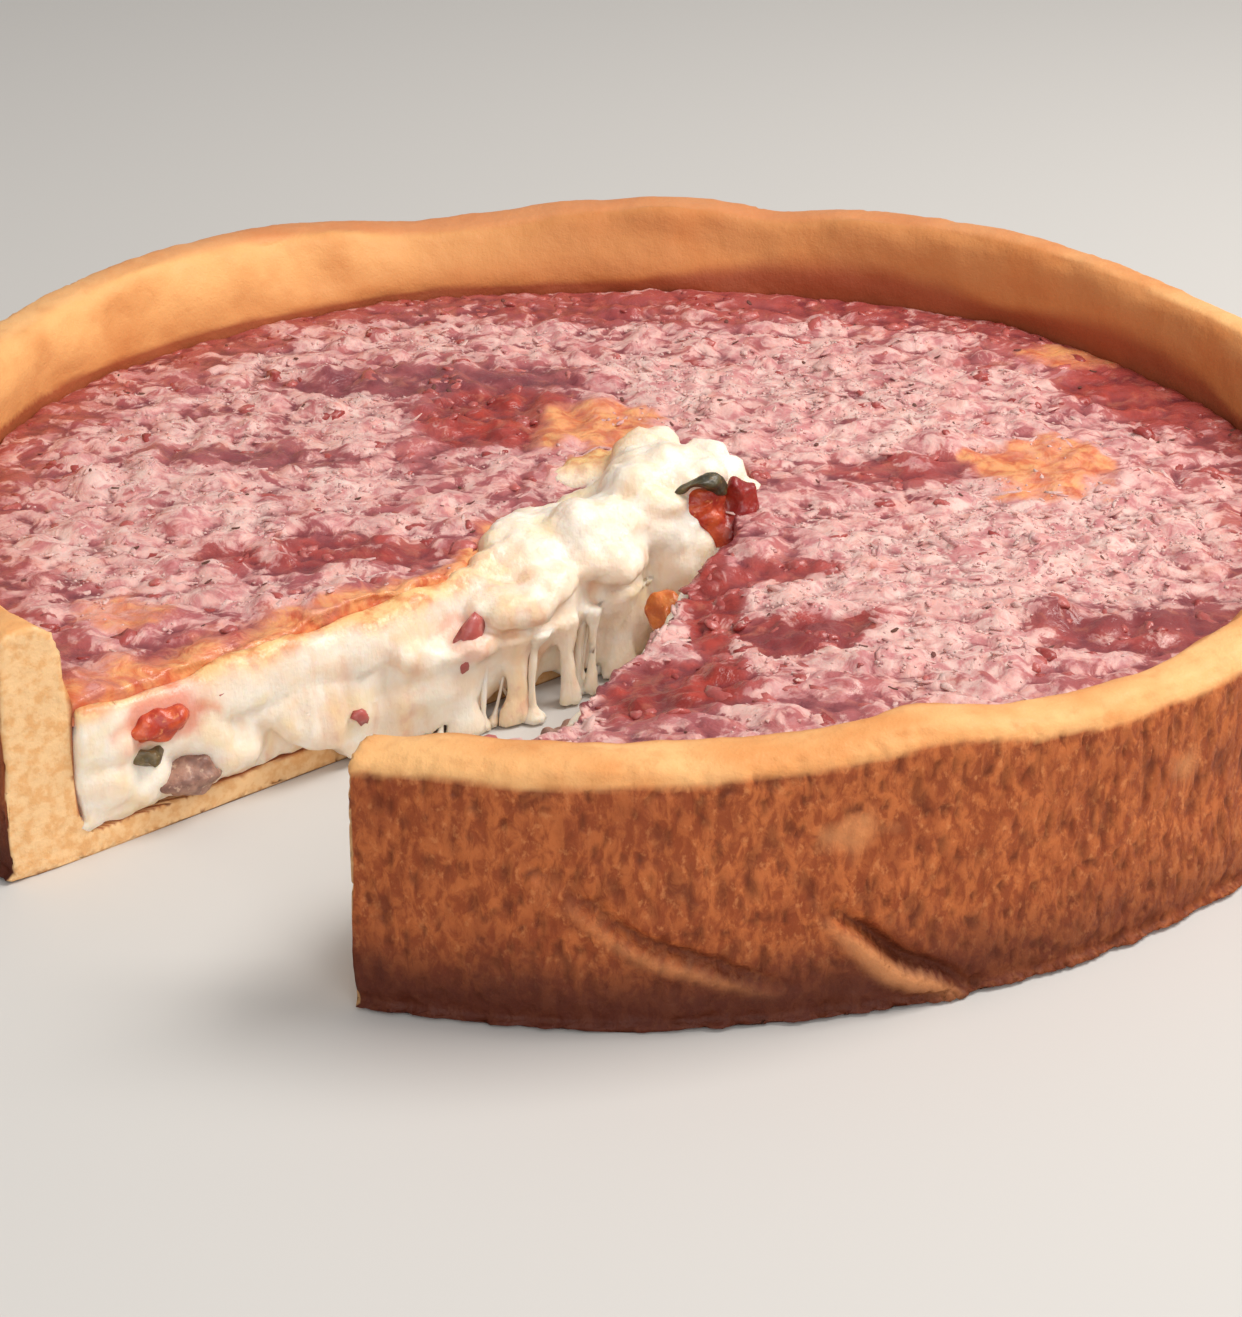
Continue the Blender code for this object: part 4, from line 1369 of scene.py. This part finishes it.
def places_on(ground, amount, chance, chosen, sink, upright=0.0):
    """Random places on the sauce: (matrix, tint) for things of the given amount and sizes."""
    count, sizes = amount
    found = []
    tries = 0
    while len(found) < count and tries < count * 40:
        tries += 1
        x, y = chance.uniform(-0.138, 0.138), chance.uniform(-0.138, 0.138)
        if math.hypot(x, y) > STREWN_RADIUS or chance.random() > chosen(Vector((x, y, 0.0))):
            continue
        above = Vector((x + SHIFT.x, y + SHIFT.y, 0.06))
        spot, normal, _, _ = ground.ray_cast(above, Vector((0, 0, -1)))
        if spot is None or spot.z < LOWEST_STREWN:
            continue
        tilt = normal.lerp(Vector((0, 0, 1)), 0.3).normalized()
        turn = tilt.to_track_quat("Z", "Y").to_matrix().to_4x4()
        spin = Matrix.Rotation(chance.uniform(0, math.tau), 4, "Z")
        lean = Matrix.Rotation(chance.gauss(0.0, 0.15 + upright), 4, "Y")
        size = chance.uniform(*sizes)
        place = Matrix.Translation(spot - SHIFT + tilt * size * sink)
        found.append((place @ turn @ spin @ lean @ Matrix.Scale(size, 4), chance.random()))
    return found


# Small bits of tomato that show in the left cut: along it, height, size, turn
CUT_FLECKS = (
    (0.0655, 0.0204, 0.0094, 70.0),
    (0.0900, 0.0118, 0.0042, 130.0),
    (0.1185, 0.0232, 0.0052, 100.0),
)


def flecks_on_cut():
    """Places of the small bits of tomato that lie bare in the left cut."""
    facing = CUTS["left"][1].to_track_quat("Z", "Y").to_matrix().to_4x4()
    found = []
    for along, height, size, turn in CUT_FLECKS:
        spin = Matrix.Rotation(math.radians(turn), 4, "Z")
        place = Matrix.Translation(at_cut("left", along, cheese_bulge(along, height) + 0.0010, height))
        found.append((place @ facing @ spin @ Matrix.Scale(size, 4), 0.85))
    return found


def grated_finish():
    """Grated hard cheese: cream, partly soaked pink by the sauce."""
    grated = Finish(
        "grated_hard_cheese", (1.0, 0.6, 0.4), 0.0015, Specular_IOR_Level=0.4, Subsurface_Weight=0.2,
    )
    colour = grated.blend(grated.kept("tint"), (226, 187, 178), (204, 143, 142))
    colour = grated.patched(colour, grated.noise(0.0020, 2.0), 0.45, 0.70, 0.6, (226, 172, 162))
    grated.relief((grated.noise(0.0006, 2.0), 0.0002))
    return grated.done(colour, 0.55)


def herb_finish():
    """Dried herb, dark and a little green."""
    herb = Finish("dried_herb", Specular_IOR_Level=0.3)
    colour = herb.blend(herb.kept("tint"), (92, 62, 46), (118, 66, 60))
    herb.relief((herb.noise(0.0008, 2.0), 0.0001))
    return herb.done(colour, 0.6)


def tomato_bit_finish():
    """Bits of crushed tomato, wet red and pinkish where cheese clings to them."""
    flesh = Finish(
        "crushed_tomato_bits", (1.0, 0.35, 0.25), 0.002,
        Specular_IOR_Level=0.55, Subsurface_Weight=0.15, Coat_Weight=0.2, Coat_Roughness=0.25,
    )
    colour = flesh.blend(flesh.kept("tint"), (150, 46, 42), (190, 96, 90))
    colour = flesh.patched(colour, flesh.noise(0.0020, 3.0), 0.50, 0.70, 0.6, (206, 136, 130))
    flesh.relief((flesh.noise(0.0009, 3.0), 0.0002))
    return flesh.done(colour, 0.36)


def strew_toppings(sauce):
    """Grated cheese, its crumbs, tomato bits and herbs over the sauce."""
    tree = bmesh.new()
    tree.from_mesh(sauce.data)
    ground = BVHTree.FromBMesh(tree)
    tree.free()
    chance = random.Random(29)
    grated = grated_finish()

    def bare(point):
        """How likely a bit of tomato is to show at a place."""
        dust, _, _, browned, _ = topping_at(point)
        return (0.9 - dust) * (1.0 - browned) ** 2

    def thick(point):
        """How likely grated cheese is to lie at a place."""
        dust, _, _, browned, _ = topping_at(point)
        return smoothstep(0.35, 1.0, dust) * (1.0 - 0.8 * browned)

    def unbrowned(point):
        """How likely a fleck of herb is to show at a place."""
        return 1.0 - topping_at(point)[3]

    tomato = places_on(ground, TOMATO_BITS, chance, bare, -0.14) + flecks_on_cut()
    strewn("tomato_bits", [bit(chance) for _ in range(8)], tomato, tomato_bit_finish(), "tomato")
    shreds = places_on(ground, SHREDS, chance, thick, -0.05)
    strewn("grated_cheese", [shred(chance) for _ in range(12)], shreds, grated, "melted_cheese")
    crumbs = places_on(ground, CRUMBS, chance, thick, -0.05, 0.4)
    strewn("grated_cheese_crumbs", [crumb(chance) for _ in range(10)], crumbs, grated, "melted_cheese")
    herbs = places_on(ground, HERBS, chance, unbrowned, 0.02)
    strewn("dried_herbs", [leaf(chance) for _ in range(6)], herbs, herb_finish(), "tomato_sauce")


# ------------------------------------------------------------ the set and camera


def set_floor():
    """A plain pale floor."""
    shape = bmesh.new()
    bmesh.ops.create_grid(shape, x_segments=2, y_segments=2, size=3.0)
    mesh = bpy.data.meshes.new("floor")
    shape.to_mesh(mesh)
    shape.free()
    mesh.materials.append(Finish("pale_floor").done(shade(205, 202, 198), 0.85))
    floor = placed("floor", mesh)


def soft_light(name, place, aim, size, watts, colour=(1.0, 1.0, 1.0)):
    """A large square lamp at a place, turned to its aim."""
    lamp = bpy.data.lights.new(name, "AREA")
    lamp.shape = "SQUARE"
    lamp.size = size
    lamp.energy = watts
    lamp.color = colour
    made = placed(name, lamp)
    made.location = place
    made.rotation_euler = (Vector(aim) - Vector(place)).to_track_quat("-Z", "Y").to_euler()


def set_light():
    """Soft studio light: high from the right, a weak fill from low in front."""
    world = bpy.data.worlds.new("studio")
    world.use_nodes = True
    world.node_tree.nodes["Background"].inputs["Color"].default_value = (1.0, 0.985, 0.97, 1.0)
    world.node_tree.nodes["Background"].inputs["Strength"].default_value = 0.40
    bpy.context.scene.world = world
    soft_light("key", (0.56, 0.02, 0.80), (0.0, 0.0, 0.02), 0.50, 8.7, (1.0, 0.97, 0.93))
    soft_light("fill", (0.10, -0.85, 0.42), (0.0, 0.0, 0.02), 0.70, 3.4)


def set_camera():
    """The view: a long lens a little above the table, close enough to crop both sides."""
    lens = bpy.data.cameras.new("view")
    lens.sensor_fit = "VERTICAL"
    lens.sensor_height = 36.0
    lens.lens = 77.9
    lens.clip_start = 0.01
    camera = placed("view", lens)
    camera.location = Vector((-0.003, -0.541, 0.260)) + SHIFT
    camera.rotation_euler = (math.radians(90.0 - LOOK_DOWN), 0.0, math.radians(-0.2))
    bpy.context.scene.camera = camera
    bpy.context.scene.view_settings.view_transform = "Standard"


CHEESE = cheese_finish()
bake_crust()
strew_toppings(cook_sauce())
melt_cheese()
draw_threads()
dress_filling()
set_floor()
set_light()
set_camera()
